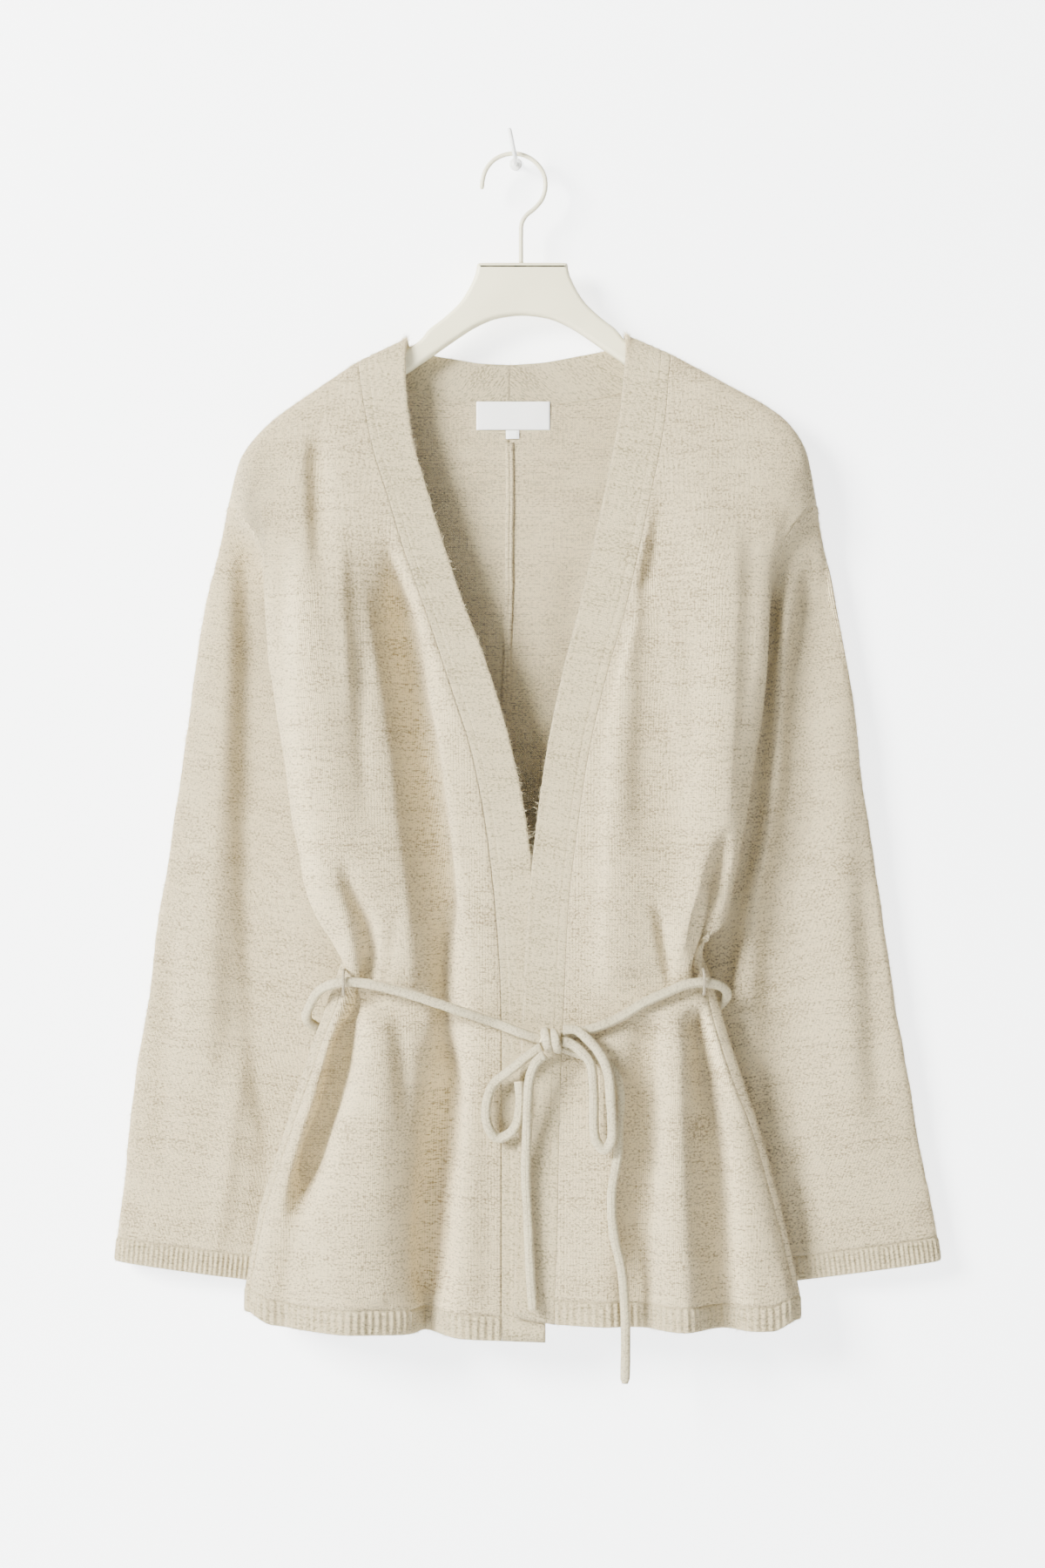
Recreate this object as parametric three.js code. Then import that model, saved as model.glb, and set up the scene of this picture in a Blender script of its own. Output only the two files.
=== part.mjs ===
import * as THREE from 'three';

// A wrap cardigan hung flat against a wall on a moulded hanger. Millimetres, Z up, front faces -Y.
// The tables are written about the photo's centre line; ROOT is the wall hook's root in them.
const ROOT_X = -4.9;
const ROOT_Z = -8.4;
const WALL = 2.6;
const SEAM = 0.3;
const BEVEL = 0.6;
const RIB_BAND = 0.7;
const RIB_HEM = 0.6;
const RIB_PITCH = 5.2;
const HEM_HEIGHT = 17;
const BAND_RIBS = 6;
const ROWS = 22;
const FRONT_COLS = 15;
const NECK_COLS = 7;
const SHOULDER_COLS = 8;
const SLEEVE_ROWS = 18;
const HANGER_Y = -20;
const HANGER_THICK = 11;
const WIRE = 1.6;
const HOOK_BASE = 4.5;
const HOOK_PIN = 1.5;
const CORD = 3.4;

const WOOL = new THREE.MeshStandardMaterial({ color: '#cbbfa8', roughness: 0.95, metalness: 0 });
const RIB = new THREE.MeshStandardMaterial({ color: '#c6baa3', roughness: 0.95, metalness: 0 });
const CORD_MAT = new THREE.MeshStandardMaterial({ color: '#c3b59b', roughness: 0.95, metalness: 0 });
const LABEL = new THREE.MeshStandardMaterial({ color: '#f1f0ee', roughness: 0.7, metalness: 0 });
const HANGER = new THREE.MeshStandardMaterial({ color: '#e3dfd3', roughness: 0.5, metalness: 0 });
const PIN = new THREE.MeshStandardMaterial({ color: '#ececec', roughness: 0.45, metalness: 0 });

const vec = (x, y, z) => new THREE.Vector3(x, y, z);
const mix = (a, b, t) => a + (b - a) * t;
const ease = (a, b, t) => {
  const s = Math.min(1, Math.max(0, (t - a) / (b - a)));
  return s * s * (3 - 2 * s);
};

// Monotone cubic through (knots, values), so no table value is overshot.
function curve(knots, values, t) {
  const n = knots.length;
  let i = 0;
  while (i < n - 2 && t > knots[i + 1]) i += 1;
  const d = [];
  for (let j = 0; j < n - 1; j += 1) d.push((values[j + 1] - values[j]) / (knots[j + 1] - knots[j]));
  const slope = (j) => {
    if (j === 0) return d[0];
    if (j === n - 1) return d[n - 2];
    return d[j - 1] * d[j] <= 0 ? 0 : (2 * d[j - 1] * d[j]) / (d[j - 1] + d[j]);
  };
  const h = knots[i + 1] - knots[i];
  const s = Math.min(1, Math.max(0, (t - knots[i]) / h));
  const a = values[i];
  const b = values[i + 1];
  const s2 = s * s;
  const s3 = s2 * s;
  return (2 * s3 - 3 * s2 + 1) * a + (s3 - 2 * s2 + s) * h * slope(i)
    + (3 * s2 - 2 * s3) * b + (s3 - s2) * h * slope(i + 1);
}

const rowOf = (table, k) => {
  const knots = table.map((r) => r[0]);
  return table[0].map((_, c) => curve(knots, table.map((r) => r[c]), k));
};

// One row per height of a front panel, x outward from the centre line:
// k, band seam x y z, crown y, edge x y z, outermost x y z, side line or armhole x y z.
const FRONT_LEFT = [
  [0, 103, -20, -145, -20, 181, -20, -189, 199, -20, -213, 207, -20, -251],
  [1, 103, -26.5, -146.6, -26.5, 181, -26.5, -190.6, 198, -26.5, -214.6, 205, -25.5, -253],
  [2, 103, -30.5, -151, -30.8, 180, -30.8, -195, 196, -30.5, -219, 200, -30.5, -256],
  [3, 102, -32.5, -160, -33.5, 178, -34, -204, 191, -34.5, -229, 194, -34.5, -262],
  [4, 100, -34, -186, -38, 172, -38.5, -230, 183, -38.5, -251, 186, -37, -272],
  [5, 94, -37, -222, -42, 165, -42.5, -262, 174, -41.5, -273, 180, -37, -284],
  [6, 88, -39, -250, -44, 163, -44, -288, 173, -40, -296, 175, -34.5, -303],
  [7, 79, -41, -292, -45, 162, -45, -318, 172, -39, -323, 168, -31.5, -327],
  [8, 71, -43, -327, -46, 161, -46, -352, 171, -39, -355, 158, -29, -358],
  [9, 57, -44, -376, -48, 156, -46.5, -394, 168, -38.5, -396, 137, -26, -398],
  [10, 45, -46, -429, -49, 150, -47, -434, 161, -38.5, -435, 104, -23, -436],
  [11.7, 37, -48, -484, -51, 143, -47.5, -485, 153, -39.5, -485, 112, -28, -486],
  [13.4, 31, -50, -538, -53, 132, -47, -538, 141, -41, -538, 122, -33, -539],
  [14.9, 29, -50, -584, -51, 112, -48, -584, 121, -46.5, -584, 127, -42, -584],
  [16.3, 27, -50, -629, -53, 122, -49.5, -629, 131, -48, -629, 138, -44, -629],
  [18.2, 25, -50, -689, -55, 141, -51, -689, 152, -48, -689, 160, -42, -689],
  [20.1, 24, -50, -750, -56, 158, -50, -749, 169, -46, -749, 177, -39, -748],
  [22, 22, -49, -805, -56, 172, -48, -810, 184, -43.5, -806, 190, -36, -804],
];
const FRONT_RIGHT = [
  [0, 114, -20, -150, -20, 178, -20, -194.5, 198, -20, -219, 207, -20, -252],
  [1, 114, -26.5, -151.6, -26.5, 178, -26.5, -196.1, 197, -26.5, -220.6, 205, -25.5, -254],
  [2, 114, -30.5, -156, -30.8, 177, -30.8, -200.5, 195, -30.5, -225, 200, -30.5, -257],
  [3, 113, -32.5, -165, -33.5, 176, -34, -209, 190, -34.5, -234, 194, -34.5, -263],
  [4, 109, -34, -190, -38, 173, -38.5, -234, 184, -38.5, -253, 187, -37, -272],
  [5, 103, -37, -217, -42, 171, -42.5, -264, 179, -41.5, -274, 181, -37, -284],
  [6, 94, -39, -245, -44, 170, -44, -288, 180, -40, -296, 176, -34.5, -303],
  [7, 82, -41, -285, -45, 169, -45, -318, 179, -39, -323, 169, -31.5, -327],
  [8, 68, -42, -324, -46, 166, -46, -352, 177, -39, -355, 158, -29, -358],
  [9, 50, -43, -378, -47, 159, -46.5, -394, 171, -38.5, -396, 137, -26, -398],
  [10, 34, -44, -429, -48, 151, -47, -434, 162, -38.5, -435, 104, -23, -436],
  [11.7, 24, -45, -484, -50, 143, -47.5, -485, 153, -39.5, -485, 112, -28, -486],
  [13.4, 18, -46, -538, -52, 131, -47, -538, 140, -41, -538, 122, -33, -539],
  [14.9, 15, -46, -584, -50, 110, -48, -584, 119, -46.5, -584, 125, -42, -584],
  [16.3, 14, -46, -629, -52, 124, -49.5, -629, 134, -48, -629, 140, -44, -629],
  [18.2, 14, -46, -689, -54, 143, -51, -689, 153, -48, -689, 161, -42, -689],
  [20.1, 14, -46, -750, -55, 160, -50, -749, 172, -46, -749, 180, -39, -748],
  [22, 14, -45, -817, -55, 172, -48, -806, 184, -43.5, -801, 190, -36, -798],
];

// Free edge of each ribbed band at the same heights, then the back neck: k, x y z.
const EDGE_LEFT = [
  [0, 72.5, -20, -132], [1, 72.5, -26.5, -133.5], [2, 72.5, -30.5, -138], [3, 72, -32.5, -147],
  [4, 69, -34, -181], [5, 63.5, -37, -214], [6, 57.5, -39, -243], [7, 49, -41, -284],
  [8, 41.5, -43, -318], [9, 28.5, -45, -368], [10, 17, -47, -424], [11.7, 9, -48.5, -482],
  [13.4, 3.5, -50, -537], [14.9, 1, -50, -584], [16.3, -1, -50, -629], [18.2, -3, -50, -689],
  [20.1, -5, -50, -750], [22, -6, -49, -800],
];
const EDGE_RIGHT = [
  [0, 81.5, -20, -134.5], [1, 81.5, -26.5, -136], [2, 82, -30.5, -140.5], [3, 82, -32.5, -149],
  [4, 80, -34, -184], [5, 76, -37, -209], [6, 68, -39, -237], [7, 57.5, -41, -272],
  [8, 45, -42, -310], [9, 24, -43, -366], [10, 7.5, -44, -422], [11.7, -4, -45, -482],
  [13.4, -9, -46, -538], [14.9, -11, -46, -584], [16.3, -13, -46, -629], [18.2, -15, -46, -689],
  [20.1, -16, -46, -750], [22, -16, -45, -818],
];
// Back neck from the shoulder to the centre: seam x y z, free edge x y z.
const NECK_LEFT = [
  [103, -20, -145, 72.5, -20, -132], [102.5, -13.5, -147.5, 72, -13.5, -133.5],
  [100, -10, -154, 69.5, -10, -137.5], [89, -9, -163.5, 62, -9, -141],
  [71, -8.5, -171, 52, -8.5, -143.5], [48, -8.5, -176.5, 36, -8.5, -146.5],
  [20, -8.5, -179, 13, -8.5, -150.5], [-9, -8.5, -179.5, -9, -8.5, -152],
];
const NECK_RIGHT = [
  [114, -20, -150, 81.5, -20, -134.5], [113, -13.5, -152.5, 81, -13.5, -136],
  [109, -10, -158, 79, -10, -140], [95, -9, -165, 73, -9, -143],
  [77, -8.5, -169.5, 63, -8.5, -145.5], [58, -8.5, -175.5, 48, -8.5, -148],
  [35, -8.5, -178.5, 29, -8.5, -151], [9, -8.5, -179.5, 9, -8.5, -152],
];

// Back, one row per height: k, shoulder-blade x y z, mid x y z, edge x y z, outermost x y z,
// armhole x y z (only used above the underarm; below it the side line is the front's).
const BACK = [
  [4, 113, -8, -198, 145, -8, -212, 172, -8, -232, 185, -8, -254, 192, -8, -277],
  [5, 114, -8, -227, 145, -8, -242, 167, -8, -260, 178, -8, -276, 185, -8, -292],
  [6, 112, -8, -257, 140, -8, -272, 161, -8, -288, 171, -8, -299, 177, -8, -310],
  [7, 108, -8, -292, 134, -8, -304, 154, -8, -316, 163, -8, -324, 169, -8, -331],
  [8, 103, -8, -327, 127, -8, -337, 145, -8, -347, 153, -8, -354, 158, -8, -360],
  [9, 94, -8, -374, 112, -8.5, -382, 125, -9.5, -390, 131, -11, -396, 137, -13, -400],
  [10, 74, -8, -424, 86, -10.5, -429, 94, -15, -432, 99, -19.5, -434, 104, -23, -436],
  [11.7, 74, -8.5, -484, 89, -13, -484, 99, -20.5, -485, 106, -25.5, -485, 112, -28, -486],
  [13.4, 75, -8.5, -538, 92, -15, -538, 104, -25, -538, 113, -31, -538, 122, -33, -539],
  [14.9, 74, -9, -584, 93, -17, -584, 110, -29, -584, 134, -36, -584, 127, -42, -584],
  [16.3, 76, -9, -629, 99, -18, -629, 121, -29, -629, 147, -36, -629, 138, -44, -629],
  [18.2, 80, -8, -689, 107, -17, -689, 137, -27, -689, 167, -34, -689, 160, -42, -689],
  [20.1, 86, -7, -749, 115, -16, -749, 151, -26, -749, 183, -32, -748, 177, -39, -748],
  [22, 90, -6, -806, 121, -15, -806, 159, -24, -805, 195, -29, -804, 190, -36, -804],
];

// Folds on the fronts, x outward: x z at the top, middle and end, half width, height (- is a trough).
const FOLDS_LEFT = [
  [122, -203, 124, -350, 120, -505, 17, 4.5],
  [86, -205, 84, -350, 80, -520, 13, -3],
  [133, -520, 124, -556, 114, -585, 11, 4],
  [117, -525, 115, -550, 110, -580, 8, -3],
  [88, -600, 88, -700, 79, -812, 13, -3],
  [118, -660, 119, -715, 120, -775, 12, -3],
  [108, -610, 104, -700, 100, -812, 11, 3],
  [62, -600, 60, -700, 54, -812, 14, 2.5],
];
const FOLDS_RIGHT = [
  [158, -245, 150, -340, 128, -520, 16, 3.5],
  [140, -205, 139, -240, 138, -275, 12, -2],
  [96, -285, 76, -430, 60, -585, 12, -4],
  [66, -370, 50, -470, 38, -580, 13, 3.5],
  [102, -555, 103, -580, 104, -608, 9, -3],
  [96, -615, 97, -710, 98, -805, 16, 3.5],
  [61, -615, 60, -710, 60, -800, 11, -3.5],
  [36, -620, 36, -710, 35, -805, 12, 3],
  [124, -600, 140, -665, 166, -760, 10, -3],
];
const FOLDS_BACK = [
  [60, -230, 56, -400, 52, -560, 18, 2],
  [52, -640, 58, -730, 66, -800, 18, 2],
  [120, -240, 112, -300, 104, -370, 14, 1.5],
];

function relief(folds, x, z) {
  let sum = 0;
  for (const [x1, z1, x2, z2, x3, z3, w, d] of folds) {
    if (z > z1 || z < z3) continue;
    const px = curve([-z1, -z2, -z3], [x1, x2, x3], -z);
    const span = z1 - z3;
    const fade = ease(0, span * 0.25, z1 - z) * ease(0, span * 0.25, z - z3 + 0.15 * span);
    sum += d * fade * Math.exp(-(((x - px) / w) ** 2));
  }
  return sum;
}

function frontPoint(side, k, u) {
  const r = rowOf(side > 0 ? FRONT_LEFT : FRONT_RIGHT, k);
  const [, bx, by, bz, my, ex, ey, ez, ox, oy, oz, sx, sy, sz] = r;
  const knots = [0, 5.5, 11, 13, 15];
  const mz = k < 4 ? mix(bz, ez, 0.5) + 1 : mix(bz, ez, 0.5);
  const x = curve(knots, [bx, mix(bx, ex, 0.5), ex, ox, sx], u);
  let y = curve(knots, [by, my, ey, oy, sy], u);
  const z = curve(knots, [bz, mz, ez, oz, sz], u);
  const free = ease(0, 2, u) * (1 - ease(11, 13.5, u)) * ease(2, 4, k);
  y -= relief(side > 0 ? FOLDS_LEFT : FOLDS_RIGHT, x, z) * free;
  return vec(side * x, y, z);
}

// Depth of the back's outer face at a drop below the shoulder line.
const rollY = (d) => -20 + 11.5 * Math.sqrt(1 - (1 - Math.min(1, d / 12)) ** 2);

function backPoint(side, k, u) {
  const neck = side > 0 ? NECK_LEFT : NECK_RIGHT;
  const zc = k <= 10 ? -179.5 - 25 * k : -429.5 - 31.4 * (k - 10);
  const knots = [0, 3.5, 7, 9.5, 11.5, 13.5, 15];
  const low = rowOf(BACK, Math.max(4, k));
  const seam = -9 - 3 * ease(4, 9, k);
  const centre = [side * seam, mix(-8.5, -9, ease(8, 14, k)) + 1.5 * ease(18, 22, k), zc];
  const row = (j) => {
    const pts = [low[j], low[j + 3], low[j + 6], low[j + 9], low[j + 12]];
    const half = j === 3 ? mix(centre[2], pts[0], 0.35) : mix(centre[j - 1], pts[0], 0.5);
    return [centre[j - 1], half, ...pts];
  };
  let p = vec(curve(knots, row(1), u), curve(knots, row(2), u), curve(knots, row(3), u));
  if (k >= 10) {
    const s = frontPoint(side, k, 15);
    const pull = ease(9, 15, u);
    p.add(vec(side * s.x - low[13], s.y - low[14], s.z - low[15]).multiplyScalar(pull));
  }
  if (k < 4) {
    const t = k / 4;
    const drop = curve([0, 1, 2, 3, 4], [0, 1.6, 6, 15, 40], k);
    if (u <= NECK_COLS) {
      const r = neck[Math.round(NECK_COLS - u)];
      const top = vec(r[0], r[1], r[2]);
      if (u === NECK_COLS) p = vec(top.x + 10 * t, rollY(drop + t * 4), top.z - drop - t * 4);
      else p = vec(mix(top.x, p.x, t), Math.max(mix(top.y, p.y, t), rollY(neck[0][2] - mix(top.z, p.z, t))),
        mix(top.z, p.z, t));
    } else {
      const v = mix(0, FRONT_COLS, (u - NECK_COLS) / SHOULDER_COLS);
      const f = frontPoint(side, k, v);
      const q = vec(side * f.x, rollY(drop), f.z);
      const end = [null, [206, -14, -254], [203, -10, -259], [198.5, -8.5, -267]][Math.round(k)];
      if (end) {
        const last = frontPoint(side, k, FRONT_COLS);
        const d = vec(end[0] - side * last.x, end[1] - q.y, end[2] - last.z);
        q.add(d.multiplyScalar(ease(0.4, 1, (u - NECK_COLS) / SHOULDER_COLS)));
      }
      q.x += 10 * t * (1 - ease(0, 0.5, (u - NECK_COLS) / SHOULDER_COLS));
      p = q.lerp(p, ease(2, 4, k) * t * t);
    }
  }
  const free = ease(1, 4, u) * (1 - ease(12, 14, u)) * ease(4, 6, k);
  p.y += relief(FOLDS_BACK, p.x, p.z) * free;
  return vec(side * p.x, p.y, p.z);
}

// Outer grids, their normals and the inner faces offset from them.
function grid(rows, cols, at) {
  const out = [];
  for (let r = 0; r < rows; r += 1) {
    const line = [];
    for (let c = 0; c < cols; c += 1) line.push(at(r, c));
    out.push(line);
  }
  return out;
}

function normals(g, closed, sign) {
  const rows = g.length;
  const cols = g[0].length;
  return g.map((line, r) => line.map((_, c) => {
    const up = g[Math.max(0, r - 1)][c];
    const down = g[Math.min(rows - 1, r + 1)][c];
    const l = closed ? line[(c + cols - 1) % cols] : line[Math.max(0, c - 1)];
    const m = closed ? line[(c + 1) % cols] : line[Math.min(cols - 1, c + 1)];
    const n = m.clone().sub(l).cross(down.clone().sub(up)).normalize();
    return n.multiplyScalar(sign);
  }));
}

// On the shoulder seam both walls stand on the same upright normals.
function shoulder(g, n, from) {
  const row = g[0];
  for (let c = from; c < row.length; c += 1) {
    const a = row[Math.max(from, c - 1)];
    const b = row[Math.min(row.length - 1, c + 1)];
    const d = Math.hypot(b.x - a.x, b.z - a.z);
    n[0][c].set(((a.z - b.z) / d) * Math.sign(b.x - a.x), 0, Math.abs(b.x - a.x) / d);
  }
}

const toward = (p, q, d) => p.clone().add(q.clone().sub(p).normalize().multiplyScalar(d));

function pull(g, edges, d) {
  const rows = g.length;
  const cols = g[0].length;
  const out = g.map((line) => line.map((p) => p.clone()));
  for (let c = 0; c < cols; c += 1) {
    if (edges.includes('top')) out[0][c] = toward(out[0][c], g[1][c], d);
    if (edges.includes('bottom')) out[rows - 1][c] = toward(out[rows - 1][c], g[rows - 2][c], d);
  }
  for (let r = 0; r < rows; r += 1) {
    if (edges.includes('first')) out[r][0] = toward(out[r][0], g[r][1], d);
    if (edges.includes('last')) out[r][cols - 1] = toward(out[r][cols - 1], g[r][cols - 2], d);
  }
  return out;
}

function thick(g, n, depth) {
  return g.map((line, r) => line.map((p, c) => p.clone().addScaledVector(n[r][c], -depth)));
}

function solid(pos, idx) {
  let vol = 0;
  const at = (i) => vec(pos[3 * i], pos[3 * i + 1], pos[3 * i + 2]);
  for (let i = 0; i < idx.length; i += 3) vol += at(idx[i]).dot(at(idx[i + 1]).cross(at(idx[i + 2])));
  if (vol < 0) idx.reverse();
  const geo = new THREE.BufferGeometry();
  geo.setAttribute('position', new THREE.Float32BufferAttribute(pos, 3));
  geo.setIndex(idx);
  geo.computeVertexNormals();
  return geo;
}

// A wall between two skins with the same rows; the inner one may have fewer columns.
function wall(outer, inner, closed = false) {
  const pos = [];
  const idx = [];
  const put = (rows) => rows.map((row) => row.map((p) => {
    pos.push(p.x, p.y, p.z);
    return pos.length / 3 - 1;
  }));
  const a = put(outer);
  const b = put(inner);
  if (closed) [...a, ...b].forEach((row) => row.push(row[0]));
  const quad = (p, q, r, s) => idx.push(p, q, r, p, r, s);
  for (const [g, flip] of [[a, false], [b, true]]) {
    for (let r = 0; r < g.length - 1; r += 1) {
      for (let c = 0; c < g[0].length - 1; c += 1) {
        if (flip) quad(g[r][c], g[r][c + 1], g[r + 1][c + 1], g[r + 1][c]);
        else quad(g[r][c], g[r + 1][c], g[r + 1][c + 1], g[r][c + 1]);
      }
    }
  }
  const zip = (p, q, flip) => {
    let i = 0;
    let j = 0;
    const n = p.length - 1;
    const m = q.length - 1;
    while (i < n || j < m) {
      if (j >= m || (i < n && (i + 0.5) / n <= (j + 0.5) / m)) {
        if (flip) idx.push(p[i + 1], p[i], q[j]);
        else idx.push(p[i], p[i + 1], q[j]);
        i += 1;
      } else {
        if (flip) idx.push(q[j], q[j + 1], p[i]);
        else idx.push(q[j + 1], q[j], p[i]);
        j += 1;
      }
    }
  };
  const last = a.length - 1;
  zip(a[0], b[0], false);
  zip(a[last], b[last], true);
  if (!closed) {
    const n = a[0].length - 1;
    const m = b[0].length - 1;
    for (let r = 0; r < last; r += 1) {
      quad(a[r + 1][0], a[r][0], b[r][0], b[r + 1][0]);
      quad(a[r][n], a[r + 1][n], b[r + 1][m], b[r][m]);
    }
  }
  return solid(pos, idx);
}

const group = new THREE.Group();
group.name = 'wrap_cardigan';
function add(name, geo, material) {
  geo.translate(-ROOT_X, 0, -ROOT_Z);
  const mesh = new THREE.Mesh(geo, material);
  mesh.name = name;
  group.add(mesh);
}

function bandGrid(side) {
  const edge = side > 0 ? EDGE_LEFT : EDGE_RIGHT;
  const neck = side > 0 ? NECK_LEFT : NECK_RIGHT;
  const lines = [];
  for (let k = ROWS; k >= 0; k -= 1) {
    const f = rowOf(edge, k);
    lines.push([vec(side * f[1], f[2], f[3]), frontPoint(side, k, 0)]);
  }
  for (let i = 1; i <= NECK_COLS; i += 1) {
    const r = neck[i];
    lines.push([vec(side * r[3], r[4], r[5]), vec(side * r[0], r[1], r[2])]);
  }
  const bottom = lines[0].map((p) => p.clone().add(vec(0, 0, -HEM_HEIGHT)));
  lines.unshift(bottom);
  const count = BAND_RIBS * 2;
  const base = lines.map(([f, s]) => {
    const row = [];
    for (let c = 0; c <= count; c += 1) row.push(f.clone().lerp(s, c / count));
    return row;
  });
  const n = normals(base, false, side);
  return { base, n };
}

const bands = { left: bandGrid(1), right: bandGrid(-1) };

// Fronts and backs.
const panels = {};
for (const [side, name] of [[1, 'left'], [-1, 'right']]) {
  let g = grid(ROWS + 1, FRONT_COLS + 1, (r, c) => frontPoint(side, r, c));
  let n = normals(g, false, -side);
  shoulder(g, n, 0);
  for (let k = 0; k <= ROWS; k += 1) n[k][0] = bands[name].n[1 + ROWS - k][BAND_RIBS * 2].clone();
  g = pull(g, ['top', 'bottom', 'first', 'last'], SEAM / 2);
  let inner = pull(thick(g, n, WALL), ['top', 'bottom', 'first', 'last'], BEVEL);
  panels[`front_${name}`] = { g, n, inner };
  add(`front_${name}`, wall(g, inner), WOOL);
  const cols = NECK_COLS + SHOULDER_COLS;
  g = grid(ROWS + 1, cols + 1, (r, c) => backPoint(side, r, c));
  n = normals(g, false, side);
  shoulder(g, n, NECK_COLS);
  for (let i = 0; i <= NECK_COLS; i += 1) {
    n[0][NECK_COLS - i] = bands[name].n[1 + ROWS + i][BAND_RIBS * 2].clone();
  }
  g = pull(g, ['top', 'bottom', 'first', 'last'], SEAM / 2);
  inner = pull(thick(g, n, WALL), ['top', 'bottom', 'first', 'last'], BEVEL);
  panels[`back_${name}`] = { g, n, inner };
  add(`back_${name}`, wall(g, inner), WOOL);
}

// Sleeves: outer and inner edge of the flattened tube, x z, from the armhole to the cuff.
const OUTER_LEFT = [
  [207, -251], [210, -274], [218, -309], [225, -345], [233, -390], [238, -435],
  [247, -496], [255, -551], [263, -606], [273, -662], [283, -717], [291.5, -766],
];
const OUTER_RIGHT = [
  [207, -252], [212, -276], [219, -309], [226, -345], [233, -390], [239.5, -435],
  [249, -496], [257, -551], [265, -606], [273, -662], [279, -717], [285, -766],
];
const INNER = [
  [104, -436], [103, -450], [102, -475], [102, -500], [104, -530], [107, -560],
  [112, -595], [118, -632], [124, -670], [131, -710], [139, -750], [146, -786],
];
const AROUND = [0, 0.012, 0.05, 0.11, 0.2, 0.31, 0.43, 0.56, 0.7, 0.85, 1];

function tubePoint(side, t, j) {
  const outer = side > 0 ? OUTER_LEFT : OUTER_RIGHT;
  const steps = outer.map((_, i) => i);
  const s = t * (outer.length - 1);
  const o = [curve(steps, outer.map((p) => p[0]), s), curve(steps, outer.map((p) => p[1]), s)];
  const i = [curve(steps, INNER.map((p) => p[0]), s), curve(steps, INNER.map((p) => p[1]), s)];
  const q = AROUND[j <= 10 ? j : 20 - j];
  const c = 1 - 2 * q;
  const half = mix(6.6, mix(12.5, 9, t), ease(-0.7, 0.6, c));
  const rise = (1 - Math.abs(c) ** 2.6) ** (1 / 2.6);
  const y = -3.5 - half + (j <= 10 ? -half * rise : half * rise);
  return vec(side * mix(o[0], i[0], q), y, mix(o[1], i[1], q));
}

function sleevePoint(side, r, j) {
  const t = r / SLEEVE_ROWS;
  const p = tubePoint(side, t, j);
  const home = j <= 10 ? frontPoint(side, j, FRONT_COLS) : backPoint(side, 20 - j, 15);
  const shift = home.sub(tubePoint(side, 0, j));
  const slow = 1 - ease(0, 0.4, t);
  return p.add(vec(shift.x * slow, shift.y * (1 - ease(0, 0.08, t)), shift.z * slow));
}

// Each sleeve is a front and a back wall, so that its collision leaves the arm's way open.
for (const [side, name] of [[1, 'left'], [-1, 'right']]) {
  let g = grid(SLEEVE_ROWS + 1, 20, (r, j) => sleevePoint(side, r, j));
  const n = normals(g, true, -side);
  g = pull(g, ['bottom'], SEAM / 2);
  g = pull(g, ['top'], SEAM * 1.5);
  const inner = pull(thick(g, n, WALL), ['top', 'bottom'], BEVEL);
  panels[`sleeve_${name}`] = { g, n, inner };
  for (const [half, first, clear] of [['front', 0, 0], ['back', 10, 1]]) {
    const cut = (a) => a.map((line) => (
      Array.from({ length: 11 }, (_, i) => line[(first + i) % 20])));
    const skin = pull(cut(g), ['first', 'last'], SEAM / 2);
    const plain = pull(cut(inner), ['first', 'last'], SEAM);
    skin[0][0] = toward(skin[0][0], skin[1][0], clear);
    plain[0][0] = toward(plain[0][0], plain[1][0], clear);
    add(`sleeve_${name}_${half}`, wall(skin, plain), WOOL);
  }
}

// Ribbed strips under a panel's last row: ribs outside, plain inside.
function along(row, closed, count) {
  const pts = closed ? [...row, row[0]] : row;
  const at = [0];
  for (let i = 1; i < pts.length; i += 1) at.push(at[i - 1] + pts[i].distanceTo(pts[i - 1]));
  const total = at[at.length - 1];
  const out = [];
  for (let s = 0; s <= count; s += 1) {
    const d = (total * s) / count;
    let i = 0;
    while (i < at.length - 2 && at[i + 1] < d) i += 1;
    out.push(pts[i].clone().lerp(pts[i + 1], (d - at[i]) / (at[i + 1] - at[i])));
  }
  return out;
}

const lengthOf = (row) => row.reduce((s, p, i) => (i ? s + p.distanceTo(row[i - 1]) : 0), 0);

function hem(name, panel, closed, drop) {
  const { g, n, inner } = panel;
  const last = g.length - 1;
  const base = g[last];
  const around = closed ? [...base, base[0]] : base;
  const ribs = Math.round(lengthOf(around) / RIB_PITCH);
  const edge = along(base, closed, ribs * 2);
  const face = along(n[last], closed, ribs * 2);
  const inside = inner[last].map((p, i) => p.clone().lerp(
    g[last][i].clone().addScaledVector(n[last][i], -WALL), 0.5));
  const rows = [SEAM + 0.3, HEM_HEIGHT].map((d) => edge.map((p, i) => {
    const rib = i % 2 ? RIB_HEM : 0;
    return p.clone().addScaledVector(face[i].clone().normalize(), rib).addScaledVector(drop, d);
  }));
  if (closed) rows.forEach((row) => row.pop());
  const plain = [SEAM + 1.8, HEM_HEIGHT].map((d) => (
    inside.map((p) => p.clone().addScaledVector(drop, d))));
  add(name, wall(rows, plain, closed), RIB);
}

hem('hem_front_left', panels.front_left, false, vec(0.02, 0, -1));
hem('hem_front_right', panels.front_right, false, vec(-0.02, 0, -1));
hem('hem_back_left', panels.back_left, false, vec(0.02, 0, -1));
hem('hem_back_right', panels.back_right, false, vec(-0.02, 0, -1));
hem('cuff_left', panels.sleeve_left, true, vec(0.13, 0, -0.99));
hem('cuff_right', panels.sleeve_right, true, vec(-0.1, 0, -0.99));

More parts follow.
